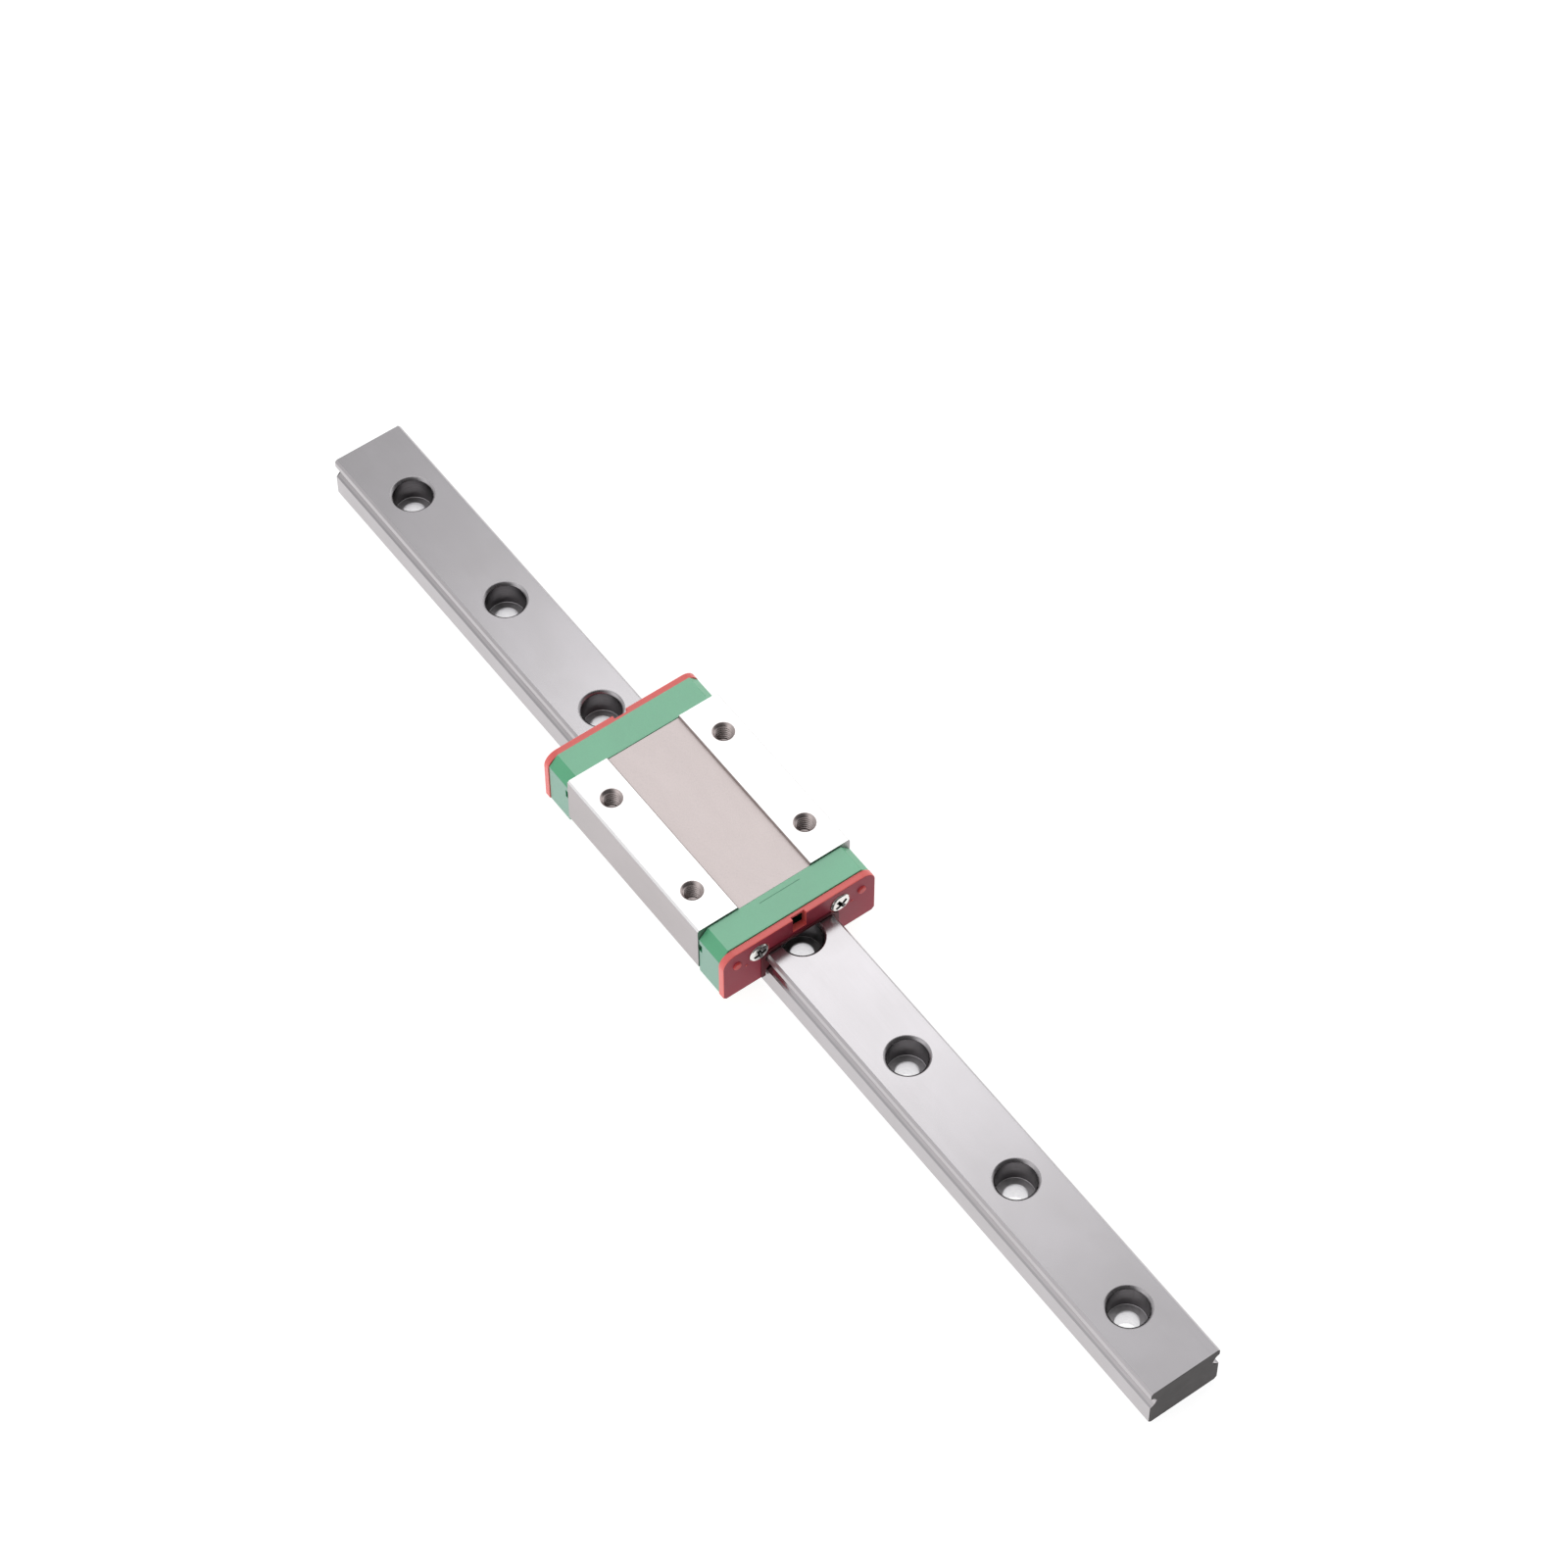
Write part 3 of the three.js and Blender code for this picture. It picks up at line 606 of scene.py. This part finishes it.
def wire_path(side, steps=12):
    a, b, leg = 18.7, 0.75, 0.45
    pts = [(-a - b, side * (WIRE_Y + b + leg), WIRE_Z)]
    for i in range(steps + 1):
        t = math.pi / 2 * i / steps
        pts.append((-a - b * math.cos(t), side * (WIRE_Y + b - b * math.sin(t)), WIRE_Z))
    for i in range(steps + 1):
        t = math.pi / 2 * i / steps
        pts.append((a + b * math.sin(t), side * (WIRE_Y + b - b * math.cos(t)), WIRE_Z))
    pts.append((a + b, side * (WIRE_Y + b + leg), WIRE_Z))
    return pts


# ------------------------------------------------------------------ rail
def build_rail():
    w = 6.0
    a = math.degrees(math.acos((w - RACE_Y) / GROOVE_R))
    groove = arc(RACE_Y, RACE_Z, GROOVE_R, 360 - a, a, 28)
    # narrow relief at the bottom of the raceway
    mid = len(groove) // 2
    relief = [
        (groove[mid - 2][0], groove[mid - 2][1]),
        (RACE_Y - GROOVE_R - 0.13, RACE_Z - 0.14),
        (RACE_Y - GROOVE_R - 0.13, RACE_Z + 0.14),
        (groove[mid + 2][0], groove[mid + 2][1]),
    ]
    groove = groove[: mid - 2] + relief + groove[mid + 3 :]
    half = [(w - 0.45, 0), (w, 0.45)] + groove + [(w, 8 - 0.35), (w - 0.35, 8)]
    outline = fillet(mirror(half), 0.07, 2, min_turn=24)
    ob = sweep("rail_bar", outline, -100, 100, 0.10)
    tools = []
    for i in range(8):
        x = -100 + 12.5 + i * 25
        tools.append(
            lathe(
                f"drill{i}",
                [
                    (0, -1),
                    (1.95, -1),
                    (1.95, -0.001),
                    (1.80, 0.12),
                    (1.75, 0.3),
                    (1.75, 3.32),
                    (1.79, 3.44),
                    (1.9, 3.5),
                    (2.92, 3.5),
                    (2.98, 3.53),
                    (3.0, 3.6),
                    (3.0, 7.53),
                    (3.03, 7.6),
                    (3.34, 7.93),
                    (3.42, 7.975),
                    (3.5, 8.0),
                    (3.5, 9),
                    (0, 9),
                ],
                72,
                at=(x, 0, 0),
            )
        )
    boolean(ob, tools)
    tidy(ob)

    def choose(c, n):
        hx = (c.x + 100) % 25
        r = math.hypot(hx - 12.5, c.y)
        # cut end faces: painted shade
        if abs(c.x) > 99.85 and abs(n.x) > 0.5:
            return 3
        # through-hole walls: painted light, near-white as a painted reflection of the floor
        if r < 1.9 and 0.0 < c.z < 3.49 and abs(n.z) < 0.9:
            return 6
        if r < 3.02 and 3.45 < c.z < 3.62 and n.z > 0.3:
            return 5
        # counterbore walls: painted shade
        if r < 3.02 and 3.5 < c.z < 7.62 and abs(n.z) < 0.6 and abs(c.y) < 3.05:
            return 4
        if r < 3.49 and 7.5 < c.z < 7.995:
            return 7
        if abs(n.z) > 0.9:
            return 0
        if 4.15 < c.z < 6.65 and abs(c.y) < 5.995:
            return 2
        return 1

    paint(
        ob,
        [M_RAIL_TOP, M_RAIL_SIDE, M_RAIL_GROOVE, M_RAIL_END_SHADE, M_RAIL_CBORE_SHADE, M_RAIL_FLOOR, M_RAIL_THRU_PAINTED_LIGHT, M_RAIL_CHAMFER],
        choose,
    )
    return finish_piece(ob, "rail", ["rail"])


# ------------------------------------------------------------------ block
def helix(name, x, y, z0, z1, root, tip, pitch=0.5, seg=36):
    turns = (z1 - z0) / pitch
    n = int(turns * seg)
    prof = [(root, -0.235), (tip, -0.045), (tip, 0.045), (root, 0.235)]
    verts, faces = [], []
    for i in range(n + 1):
        a = 2 * math.pi * i / seg
        z = z0 + pitch * i / seg
        for r, dz in prof:
            verts.append((x + r * math.cos(a), y + r * math.sin(a), z + dz))
    for i in range(n):
        for k in range(4):
            k2 = (k + 1) % 4
            faces.append((i * 4 + k, i * 4 + k2, (i + 1) * 4 + k2, (i + 1) * 4 + k))
    faces.append((0, 3, 2, 1))
    faces.append((n * 4, n * 4 + 1, n * 4 + 2, n * 4 + 3))
    return make(name, verts, faces)


def build_block():
    w, c = 13.5, CH_Y
    a = math.degrees(math.acos((c - RACE_Y) / GROOVE_R))
    race = list(reversed(arc(RACE_Y, RACE_Z, GROOVE_R, -a, a, 28)))
    slot_z = WIRE_Z - 0.3
    half = [
        (c - 0.35, CH_Z),
        (c, CH_Z - 0.35),
        (c, WIRE_Z + 0.36),
        (WIRE_Y + 0.4, WIRE_Z + 0.36, 0.12),
        (WIRE_Y + 0.4, slot_z, 0.05),
    ]
    race = race[1:]
    half += race
    half += [
        (c, 3.6),
        (c + 0.6, 3.0),
        (w - 1.0, 3.0),
        (w, 4.0),
        (w, 13 - 0.3),
        (w - 0.3, 13),
        (6.49, 13, 0.02),
        (6.36, 12.95, 0.02),
        (6.3, 12.5, 0.03),
    ]
    outline = fillet(mirror(half), 0.06, 2, min_turn=24)
    ob = sweep("block_body", outline, -L, L)
    # return bores and screw holes
    tools = []
    for s in (-1, 1):
        tools.append(
            lathe(
                "ret",
                [(0, -L - 1), (RETURN_BORE_R + 0.2, -L - 1), (RETURN_BORE_R + 0.2, -L), (RETURN_BORE_R, -L + 0.2), (RETURN_BORE_R, L - 0.2), (RETURN_BORE_R + 0.2, L), (RETURN_BORE_R + 0.2, L + 1), (0, L + 1)],
                48,
                "X",
                (0, s * RETURN_Y, RACE_Z),
            )
        )
        for e in (False, True):
            tools.append(
                lathe(
                    "scr",
                    [(0, 12.7), (1.0, 13.1), (1.0, L - 0.1), (1.12, L), (1.12, L + 1), (0, L + 1)],
                    32,
                    "X",
                    (0, s * SCREW_Y, SCREW_Z),
                    flip=e,
                )
            )
        for e in (-1, 1):
            tools.append(
                lathe(
                    "tap",
                    [(0, 13 - 4.35), (1.5, 13 - 3.6), (1.5, 14), (0, 14)],
                    48,
                    "Z",
                    (e * 10, s * 10, 0),
                )
            )
    # reference line along the +Y side
    line = sweep(
        "line", [(w - 0.14, 8.0), (w - 0.10, 7.9), (w + 0.1, 7.82), (w + 0.1, 8.18), (w - 0.10, 8.1)], -L - 1, L + 1
    )
    tools.append(line)
    boolean(ob, tools)
    threads = [
        helix("thread", e * 10, s * 10, 13 - 3.5, 13.4, 1.56, 1.24) for e in (-1, 1) for s in (-1, 1)
    ]
    boolean(ob, threads, "UNION")
    mouths = []
    for e in (-1, 1):
        for s in (-1, 1):
            mouths.append(
                lathe(
                    "mouth",
                    [(0, 12.55), (1.2, 12.55), (1.62, 12.955), (1.68, 12.99), (1.74, 13.0), (1.74, 13.9), (0, 13.9)],
                    48,
                    "Z",
                    (e * 10, s * 10, 0),
                )
            )
    boolean(ob, mouths)
    tidy(ob)

    def choose(cn, n):
        for e in (-1, 1):
            for s in (-1, 1):
                if math.hypot(cn.x - e * 10, cn.y - s * 10) < 1.73 and cn.z > 8.0 and not (abs(n.z) > 0.99 and cn.z > 12.99):
                    return 7
        if abs(n.x) > 0.6 and abs(cn.x) > 16.1:
            return 4
        # pad-edge chamfer: painted shade
        if 6.3 < abs(cn.y) < 6.48 and 12.9 < cn.z < 12.998:
            return 8
        # top pads: painted highlight
        if cn.z > 12.8 and n.z > 0.3:
            return 0
        if cn.z > 12.47 and n.z > 0.7 and abs(cn.y) < 6.305:
            return 1
        # step wall between pad and band: painted shade
        if 12.4 <= cn.z < 12.97 and abs(cn.y) < 6.4:
            return 8
        if cn.z < 3.05 and n.z < -0.7:
            return 3
        if abs(cn.y) < 7.6 and 4.1 < cn.z < 6.75:
            return 6
        if abs(cn.y) < 6.4 and cn.z > 6.7:
            return 5
        return 2

    paint(ob, [M_PAD_LIT, M_BAND, M_SIDE, M_FOOT, M_BEND, M_CHANNEL, M_RACE, M_TAP, M_STEP_SHADE], choose)
    return finish_piece(ob, "carriage", ["block"], dx=CARRIAGE_X)


# ------------------------------------------------------------------ end caps
def build_cap(name, rear):
    w = CAP_W
    half = [
        (CH_Y, CH_Z + 0.1),
        (CH_Y, CAP_BOTTOM + 0.3),
        (CH_Y + 0.3, CAP_BOTTOM),
        (w - 0.1, CAP_BOTTOM, 0.1),
        (w, CAP_BOTTOM + 0.1, 0.1),
        (w, CAP_TOP - 1.75),
        (w - 1.55, CAP_TOP),
    ]
    outline = fillet(mirror(half), 0.1, 3, min_turn=20)
    ob = sweep(name, outline, CAP_IN, CAP_OUT, 0.08)
    tools = [
        block("pocket", CAP_IN + 1.6, CAP_OUT - 0.6, -5.6, 5.6, CH_Z - 1, CH_Z + 0.35, 0.12),
        lathe(
            "port",
            [(0, CAP_IN + 0.9), (1.05, CAP_IN + 0.9), (1.15, CAP_IN + 1.1), (1.15, CAP_OUT - 0.06), (1.2, CAP_OUT), (1.2, CAP_OUT + 1), (0, CAP_OUT + 1)],
            40,
            "X",
            (0, 0, 10.5),
        ),
        # shallow well cut only to carry the painted shade of the notch
        block("well", CAP_OUT - 0.5, CAP_OUT + 1, -1.32, 1.32, 9.2, 12.0, 0.08),
    ]
    for s in (-1, 1):
        tools.append(torus("turn", (CAP_IN, s * TURN_Y, RACE_Z), TURN_R, TURN_TUBE_R))
        tools.append(
            lathe(
                "gp",
                [(0, GUIDE_LOW - 0.06), (GUIDE_R + 0.07, GUIDE_LOW - 0.06), (GUIDE_R + 0.07, GUIDE_HIGH + 0.06), (0, GUIDE_HIGH + 0.06)],
                48,
                "Z",
                (CAP_IN, s * TURN_Y, 0),
            )
        )
        tools.append(rod("ws", wire_path(s), 0.38, 20))
        y0, y1 = sorted((s * 6.2, s * WIRE_Y))
        tools.append(block("wm", CAP_IN - 0.5, 19.75, y0, y1, WIRE_Z - 0.33, WIRE_Z + 0.33))
        tools.append(
            lathe("sh", [(0, CAP_IN - 1), (1.05, CAP_IN - 1), (1.05, CAP_OUT + 1), (0, CAP_OUT + 1)], 32, "X", (0, s * SCREW_Y, SCREW_Z))
        )
        y0, y1 = sorted((s * (w - 0.4), s * (w + 0.5)))
        tools.append(block("rel", CAP_IN - 0.5, CAP_IN + 0.75, y0, y1, 8.3, 9.9, 0.1))
        # shallow step on the inner face of each leg, beside the window of the turn
        y0, y1 = sorted((s * (CH_Y - 0.4), s * (CH_Y + 0.22)))
        tools.append(block("win", CAP_IN + 0.55, CAP_OUT - 0.7, y0, y1, 3.75, 6.35, 0.1))
    for t in tools:
        boolean(ob, t)
    # small moulded ribs on the roof of the channel
    for y in (-1.7, 1.7):
        boolean(ob, block("rib", CAP_IN + 0.02, CAP_IN + 1.75, y - 0.28, y + 0.28, CH_Z - 0.12, CH_Z + 0.5, 0.08), "UNION")
    if not rear:
        boolean(ob, block("seam", 17.22, 17.32, -3.4, 3.72, CAP_TOP - 0.05, CAP_TOP + 0.4))
    tidy(ob)

    # faces take the lit or shaded copy of the green by direction: painted light on top and sides, painted shade on
    # chamfers, ends, underside and inner faces
    def choose(cn, n):
        if abs(n.y) > 0.8 and abs(cn.y) > 13.2 and cn.z < 11.2:
            return 1
        # well floor and walls, then the port bore: painted shade
        if abs(cn.y) < 1.34 and 9.15 < cn.z < 12.05 and CAP_OUT - 0.52 < cn.x < CAP_OUT - 0.005:
            return 5
        if math.hypot(cn.y, cn.z - 10.5) < 1.2 and CAP_IN + 0.5 < cn.x < CAP_OUT - 0.4 and cn.y * n.y + (cn.z - 10.5) * n.z < 0.01 and n.z > -0.95:
            return 5
        if not rear and 17.2 < cn.x < 17.34 and cn.z > 12.4 and -3.5 < cn.y < 3.8 and cn.z < CAP_TOP - 0.003:
            return 2
        if cn.z > 10.5 and abs(cn.y) > 11.7 and 0.3 < abs(n.y):
            return 3
        if cn.z > 12.4 and n.z > 0.5:
            return 0
        if abs(cn.x - CAP_IN) < 0.2 or abs(cn.x - CAP_OUT) < 0.2:
            return 3
        return 4

    paint(ob, [M_GREEN, M_GREEN_SIDE, M_SEAM, M_GREEN_EDGE_SHADED, M_GREEN_SHADED, M_PORT_SHADE], choose)
    transform(ob, turn=rear)
    return finish_piece(ob, "carriage", [name_of("end_cap", rear)], dx=CARRIAGE_X)


def name_of(stem, rear):
    return f"{stem}_{'rear' if rear else 'front'}"


def build_guide(name, node, side, rear):
    s = -side if rear else side
    ob = lathe(
        name,
        [(0, GUIDE_LOW), (GUIDE_R - 0.08, GUIDE_LOW), (GUIDE_R, GUIDE_LOW + 0.08), (GUIDE_R, GUIDE_HIGH - 0.08), (GUIDE_R - 0.08, GUIDE_HIGH), (0, GUIDE_HIGH)],
        64,
        "Z",
        (CAP_IN + 0.02, s * TURN_Y, 0),
    )
    boolean(ob, block("half", CAP_IN + 0.02, CAP_IN + 4, s * TURN_Y - 3, s * TURN_Y + 3, 0, 10), "INTERSECT")
    boolean(ob, torus("turn", (CAP_IN, s * TURN_Y, RACE_Z), TURN_R, TURN_TUBE_R))
    tidy(ob)
    paint(ob, [M_MINT], lambda c, n: 0)
    transform(ob, turn=rear)
    return finish_piece(ob, "carriage", [node], dx=CARRIAGE_X)


# ------------------------------------------------------------------ end seals
SEAL_HOLE = [
    (5.45, 8.14),
    (6.14, 7.62),
    (6.14, 6.75),
    (5.95, 6.35),
    (5.3, 5.55, 0.1),
    (5.3, 5.25, 0.1),
    (5.95, 4.5),
    (6.14, 4.1),
    (6.14, SEAL_BOTTOM + 0.5),
    (6.6, SEAL_BOTTOM),
]


def build_seal(name, rear):
    w, r = SEAL_W, 2.2
    half = SEAL_HOLE + [(w - 0.5, SEAL_BOTTOM, 0.25), (w, SEAL_BOTTOM + 0.5, 0.25)]
    half += [(p[0], p[1], 0.0) for p in arc(w - r, SEAL_TOP - r, r, 0, 90, 14)]
    outline = fillet(mirror(half), 0.06, 2, min_turn=20)
    ob = sweep(name, outline, SEAL_IN, SEAL_OUT)
    # rounded outer edge on the outer face
    rim = [(w - 0.5, SEAL_BOTTOM, 0.25), (w, SEAL_BOTTOM + 0.5, 0.25)]
    rim += [(p[0], p[1], 0.0) for p in arc(w - r, SEAL_TOP - r, r, 0, 90, 14)]
    rim_full = fillet(mirror(rim), 0.06, 3, min_turn=20)
    blank = sweep("blank", rim_full, SEAL_IN - 3, SEAL_OUT, 0.16, which=(False, True), segs=4)
    boolean(ob, blank, "INTERSECT")
    # raised lip band round the opening
    hole_full = mirror(SEAL_HOLE)
    band_half = [
        (6.9, SEAL_BOTTOM + 0.25, 0.1),
        (6.9, 7.75, 0.3),
        (5.85, 8.75, 0.3),
    ]
    lip_outline = fillet(mirror(SEAL_HOLE[:-1] + [(6.14, SEAL_BOTTOM + 0.25)] + band_half), 0.06, 2, min_turn=20)
    lip = sweep("lip", lip_outline, SEAL_OUT - 0.3, SEAL_OUT + 0.2, 0.03, which=(False, True), segs=2)
    boolean(ob, lip, "UNION")
    tools = [
        block("n1", SEAL_IN - 1, SEAL_OUT + 1, -1.2, 1.2, 9.3, SEAL_TOP - 0.45),
        block("n2", SEAL_IN + 0.45, SEAL_OUT + 1, -1.2, 1.2, 9.3, SEAL_TOP + 1),
    ]
    for s in (-1, 1):
        tools.append(
            lathe(
                "cs",
                [(0, SEAL_IN - 1), (1.1, SEAL_IN - 1), (1.1, SEAL_IN + 0.45), (HEAD_R + 0.06, SEAL_OUT - 0.1), (HEAD_R + 0.08, SEAL_OUT - 0.04), (HEAD_R + 0.14, SEAL_OUT), (HEAD_R + 0.14, SEAL_OUT + 1), (0, SEAL_OUT + 1)],
                56,
                "X",
                (0, s * SCREW_Y, SCREW_Z),
            )
        )
    for t in tools:
        boolean(ob, t)
    for s in (-1, 1):
        boolean(
            ob,
            lathe(
                "pip",
                [(0, SEAL_OUT - 0.5), (0.7, SEAL_OUT - 0.5), (0.7, SEAL_OUT), (0.68, PIP_OUT - 0.16), (0.62, PIP_OUT - 0.05), (0.5, PIP_OUT), (0, PIP_OUT)],
                40,
                "X",
                (0, s * PIP_Y, PIP_Z),
            ),
            "UNION",
        )
        # small ejector mark beside the screw
        boolean(
            ob,
            lathe(
                "dot",
                [(0, SEAL_OUT - 0.3), (0.24, SEAL_OUT - 0.3), (0.24, SEAL_OUT + 0.03), (0.17, SEAL_OUT + 0.1), (0, SEAL_OUT + 0.11)],
                24,
                "X",
                (0, s * 9.35, 8.1),
            ),
            "UNION",
        )
    tidy(ob)

    def choose(cn, n):
        if math.hypot(abs(cn.y) - PIP_Y, cn.z - PIP_Z) < 0.705 and cn.x > SEAL_OUT - 0.01:
            return 2
        # lip band round the opening: painted shade
        if abs(cn.y) < 6.93 and cn.z < 8.78 and (cn.x > SEAL_OUT + 0.02 or abs(cn.y) < 6.7 and cn.z < 8.2):
            return 3
        # outer face: the darker red, partly painted shade
        if n.x > 0.85 and cn.x > SEAL_OUT - 0.04:
            return 1
        return 0

    paint(ob, [M_RED, M_RED_FACE_SHADED, M_PIP, M_LIP_SHADE], choose)
    transform(ob, turn=rear)
    return finish_piece(ob, "carriage", [name_of("end_seal", rear)], dx=CARRIAGE_X)


# ------------------------------------------------------------------ seal screws
def build_screw(name, node, side, rear):
    x0 = 13.4
    prof = [(0, x0), (0.5, x0), (0.82, x0 + 0.3)]
    x = x0 + 0.45
    while x < 17.2:  # thread
        prof += [(0.84, x), (0.62, x + 0.2), (0.62, x + 0.22), (0.84, x + 0.4)]
        x += 0.4
    prof += [(0.62, x + 0.2), (0.8, x + 0.4), (0.86, x + 0.6), (0.86, SEAL_IN + 0.45)]
    prof += [
        (HEAD_R - 0.03, SEAL_OUT - 0.04),
        (HEAD_R, SEAL_OUT + 0.0),
        (HEAD_R - 0.01, SEAL_OUT + 0.05),
        (HEAD_R - 0.07, SEAL_OUT + 0.1),
    ]
    for k in range(1, 8):
        t = k / 8
        prof.append(((HEAD_R - 0.07) * math.cos(t * math.pi / 2), SEAL_OUT + 0.1 + (HEAD_OUT - SEAL_OUT - 0.1) * math.sin(t * math.pi / 2) ** 1.0))
    prof.append((0, HEAD_OUT))
    ob = lathe(name, prof, 64, "X")
    d = 0.8
    # cross recess: two tapered blades and a centre cone
    blades = []
    for k in range(2):
        a, b = 1.26, 0.33
        a2, b2 = 0.62, 0.2
        v = []
        for xx, (aa, bb) in ((HEAD_OUT - d, (a2, b2)), (HEAD_OUT + 0.15, (a, b))):
            for sy, sz in ((-1, -1), (1, -1), (1, 1), (-1, 1)):
                y, z = (sy * aa, sz * bb) if k == 0 else (sy * bb, sz * aa)
                v.append((xx, y, z))
        f = [(0, 1, 2, 3), (7, 6, 5, 4), (0, 4, 5, 1), (1, 5, 6, 2), (2, 6, 7, 3), (3, 7, 4, 0)]
        blades.append(make("blade", v, f))
    blades.append(lathe("cone", [(0, HEAD_OUT - d - 0.12), (0.3, HEAD_OUT - d + 0.1), (0.5, HEAD_OUT + 0.2), (0, HEAD_OUT + 0.2)], 24, "X"))
    for b in blades:
        boolean(ob, b)
    tidy(ob)
    spin = {(1, False): 0.6, (-1, False): 0.25, (1, True): 1.1, (-1, True): 0.4}[(side, rear)]
    ob.data.transform(Matrix.Rotation(spin, 4, "X"))

    def choose(c, n):
        r = math.hypot(c.y, c.z)
        # recess faces: painted shade
        if c.x > HEAD_OUT - d - 0.2 and r < 1.34 and (n.x < 0.55 or c.x < HEAD_OUT - 0.5):
            return 1
        return 0

    paint(ob, [M_SCREW, M_RECESS_SHADE], choose)
    s = -side if rear else side
    ob.data.transform(Matrix.Translation((0, s * SCREW_Y, SCREW_Z)))
    transform(ob, turn=rear)
    return finish_piece(ob, "carriage", [node], dx=CARRIAGE_X)


# ------------------------------------------------------------------ balls
def ball_mesh(bm, x, y, z, sub):
    r = bmesh.ops.create_icosphere(bm, subdivisions=sub, radius=BALL_R)
    bmesh.ops.translate(bm, vec=(x, y, z), verts=r["verts"])


def build_ball(name, node, side, i):
    bm = bmesh.new()
    ball_mesh(bm, (i - (LOAD_BALLS - 1) / 2) * LOAD_PITCH, side * RACE_Y, RACE_Z, 4)
    me = bpy.data.meshes.new(name)
    bm.to_mesh(me)
    bm.free()
    ob = bpy.data.objects.new(name, me)
    scene.collection.objects.link(ob)
    me.materials.append(M_BALL)
    return finish_piece(ob, node, [node], sharp=60, dx=CARRIAGE_X, weighted=False)


def build_return(name, node, side):
    pts = []
    end = []
    for d in (-72.5, 0, 72.5):
        end.append((CAP_IN + TURN_R * math.cos(D(d)), side * (TURN_Y + TURN_R * math.sin(D(d)))))
    pts += end
    pts += [(((LOAD_BALLS - 1) / 2 - i) * LOAD_PITCH, side * RETURN_Y) for i in range(LOAD_BALLS)]
    pts += [(-x, y) for x, y in end]
    bm = bmesh.new()
    for x, y in pts:
        ball_mesh(bm, x, y, RACE_Z, 3)
    me = bpy.data.meshes.new(name)
    bm.to_mesh(me)
    bm.free()
    ob = bpy.data.objects.new(name, me)
    scene.collection.objects.link(ob)
    me.materials.append(M_BALL)
    return finish_piece(ob, "carriage", [node], sharp=60, dx=CARRIAGE_X, weighted=False)


# ------------------------------------------------------------------ build everything
build_rail()
build_block()
for rear in (False, True):
    build_cap(f"cap_{'rear' if rear else 'front'}", rear)
    build_seal(f"seal_{'rear' if rear else 'front'}", rear)
    for side, word in ((1, "left"), (-1, "right")):
        end = "rear" if rear else "front"
        build_screw(f"screw_{end}_{word}", f"seal_screw_{end}_{word}", side, rear)
        build_guide(f"guide_{end}_{word}", f"return_guide_{end}_{word}", side, rear)
for side, word in ((1, "left"), (-1, "right")):
    ob = rod(f"wire_{word}", wire_path(side), WIRE_R, 20, round_end=0.08)
    ob.data.materials.append(M_WIRE)
    finish_piece(ob, "carriage", [f"retaining_wire_{word}"], sharp=50, dx=CARRIAGE_X, weighted=False)
    build_return(f"return_train_{word}", f"return_balls_{word}", side)
    for i in range(LOAD_BALLS):
        node = f"ball_{word}_{i + 1:02d}"
        build_ball(f"sphere_{word}_{i + 1:02d}", node, side, i)

# ------------------------------------------------------------------ floor, light
fv = 1.5
me = bpy.data.meshes.new("floor")
me.from_pydata([(-fv, -fv, -0.0001), (fv, -fv, -0.0001), (fv, fv, -0.0001), (-fv, fv, -0.0001)], [], [(0, 1, 2, 3)])
floor = bpy.data.objects.new("floor", me)
scene.collection.objects.link(floor)
fm = Mat("floor_white", (0.3, 0.3, 0.3), 0.7)
fm.colour(fm.ramp(fm.noise((14, 14, 14), 3.0), [(0.3, (0.295, 0.295, 0.295)), (0.7, (0.31, 0.31, 0.31))]))
fm.p.inputs["Emission Color"].default_value = (1, 1, 1, 1)
fm.p.inputs["Emission Strength"].default_value = 0.88
me.materials.append(fm.m)

world = bpy.data.worlds.new("studio")
scene.world = world
world.use_nodes = True
wt = world.node_tree
bg = wt.nodes["Background"]
bg.inputs["Strength"].default_value = 1.0
tc = wt.nodes.new("ShaderNodeTexCoord")
sep = wt.nodes.new("ShaderNodeSeparateXYZ")
wt.links.new(tc.outputs["Generated"], sep.inputs["Vector"])
rp = wt.nodes.new("ShaderNodeValToRGB")
el = rp.color_ramp.elements
while len(el) < 7:
    el.new(0.5)
for e, (x, v) in zip(
    el, [(-1.0, 0.66), (-0.55, 0.76), (-0.34, 0.96), (-0.05, 1.12), (0.25, 0.7), (0.5, 0.14), (1.0, 0.06)]
):
    e.position = (x + 1) / 2
    e.color = (v, v, v * 1.01, 1)
mr = wt.nodes.new("ShaderNodeMapRange")
mr.inputs["From Min"].default_value = -1
mr.inputs["From Max"].default_value = 1
wt.links.new(sep.outputs["X"], mr.inputs["Value"])
wt.links.new(mr.outputs["Result"], rp.inputs["Fac"])
wt.links.new(rp.outputs["Color"], bg.inputs["Color"])


def area(name, loc, target, sx, sy, power):
    l = bpy.data.lights.new(name, "AREA")
    l.shape = "RECTANGLE"
    l.size, l.size_y = sx, sy
    l.energy = power
    o = bpy.data.objects.new(name, l)
    scene.collection.objects.link(o)
    o.location = loc
    d = Vector(target) - Vector(loc)
    o.rotation_euler = d.to_track_quat("-Z", "Y").to_euler()
    return o


area("softbox", (-0.31, 0.24, 0.60), (0.0, 0.0, 0.0), 0.17, 0.17, 0.165)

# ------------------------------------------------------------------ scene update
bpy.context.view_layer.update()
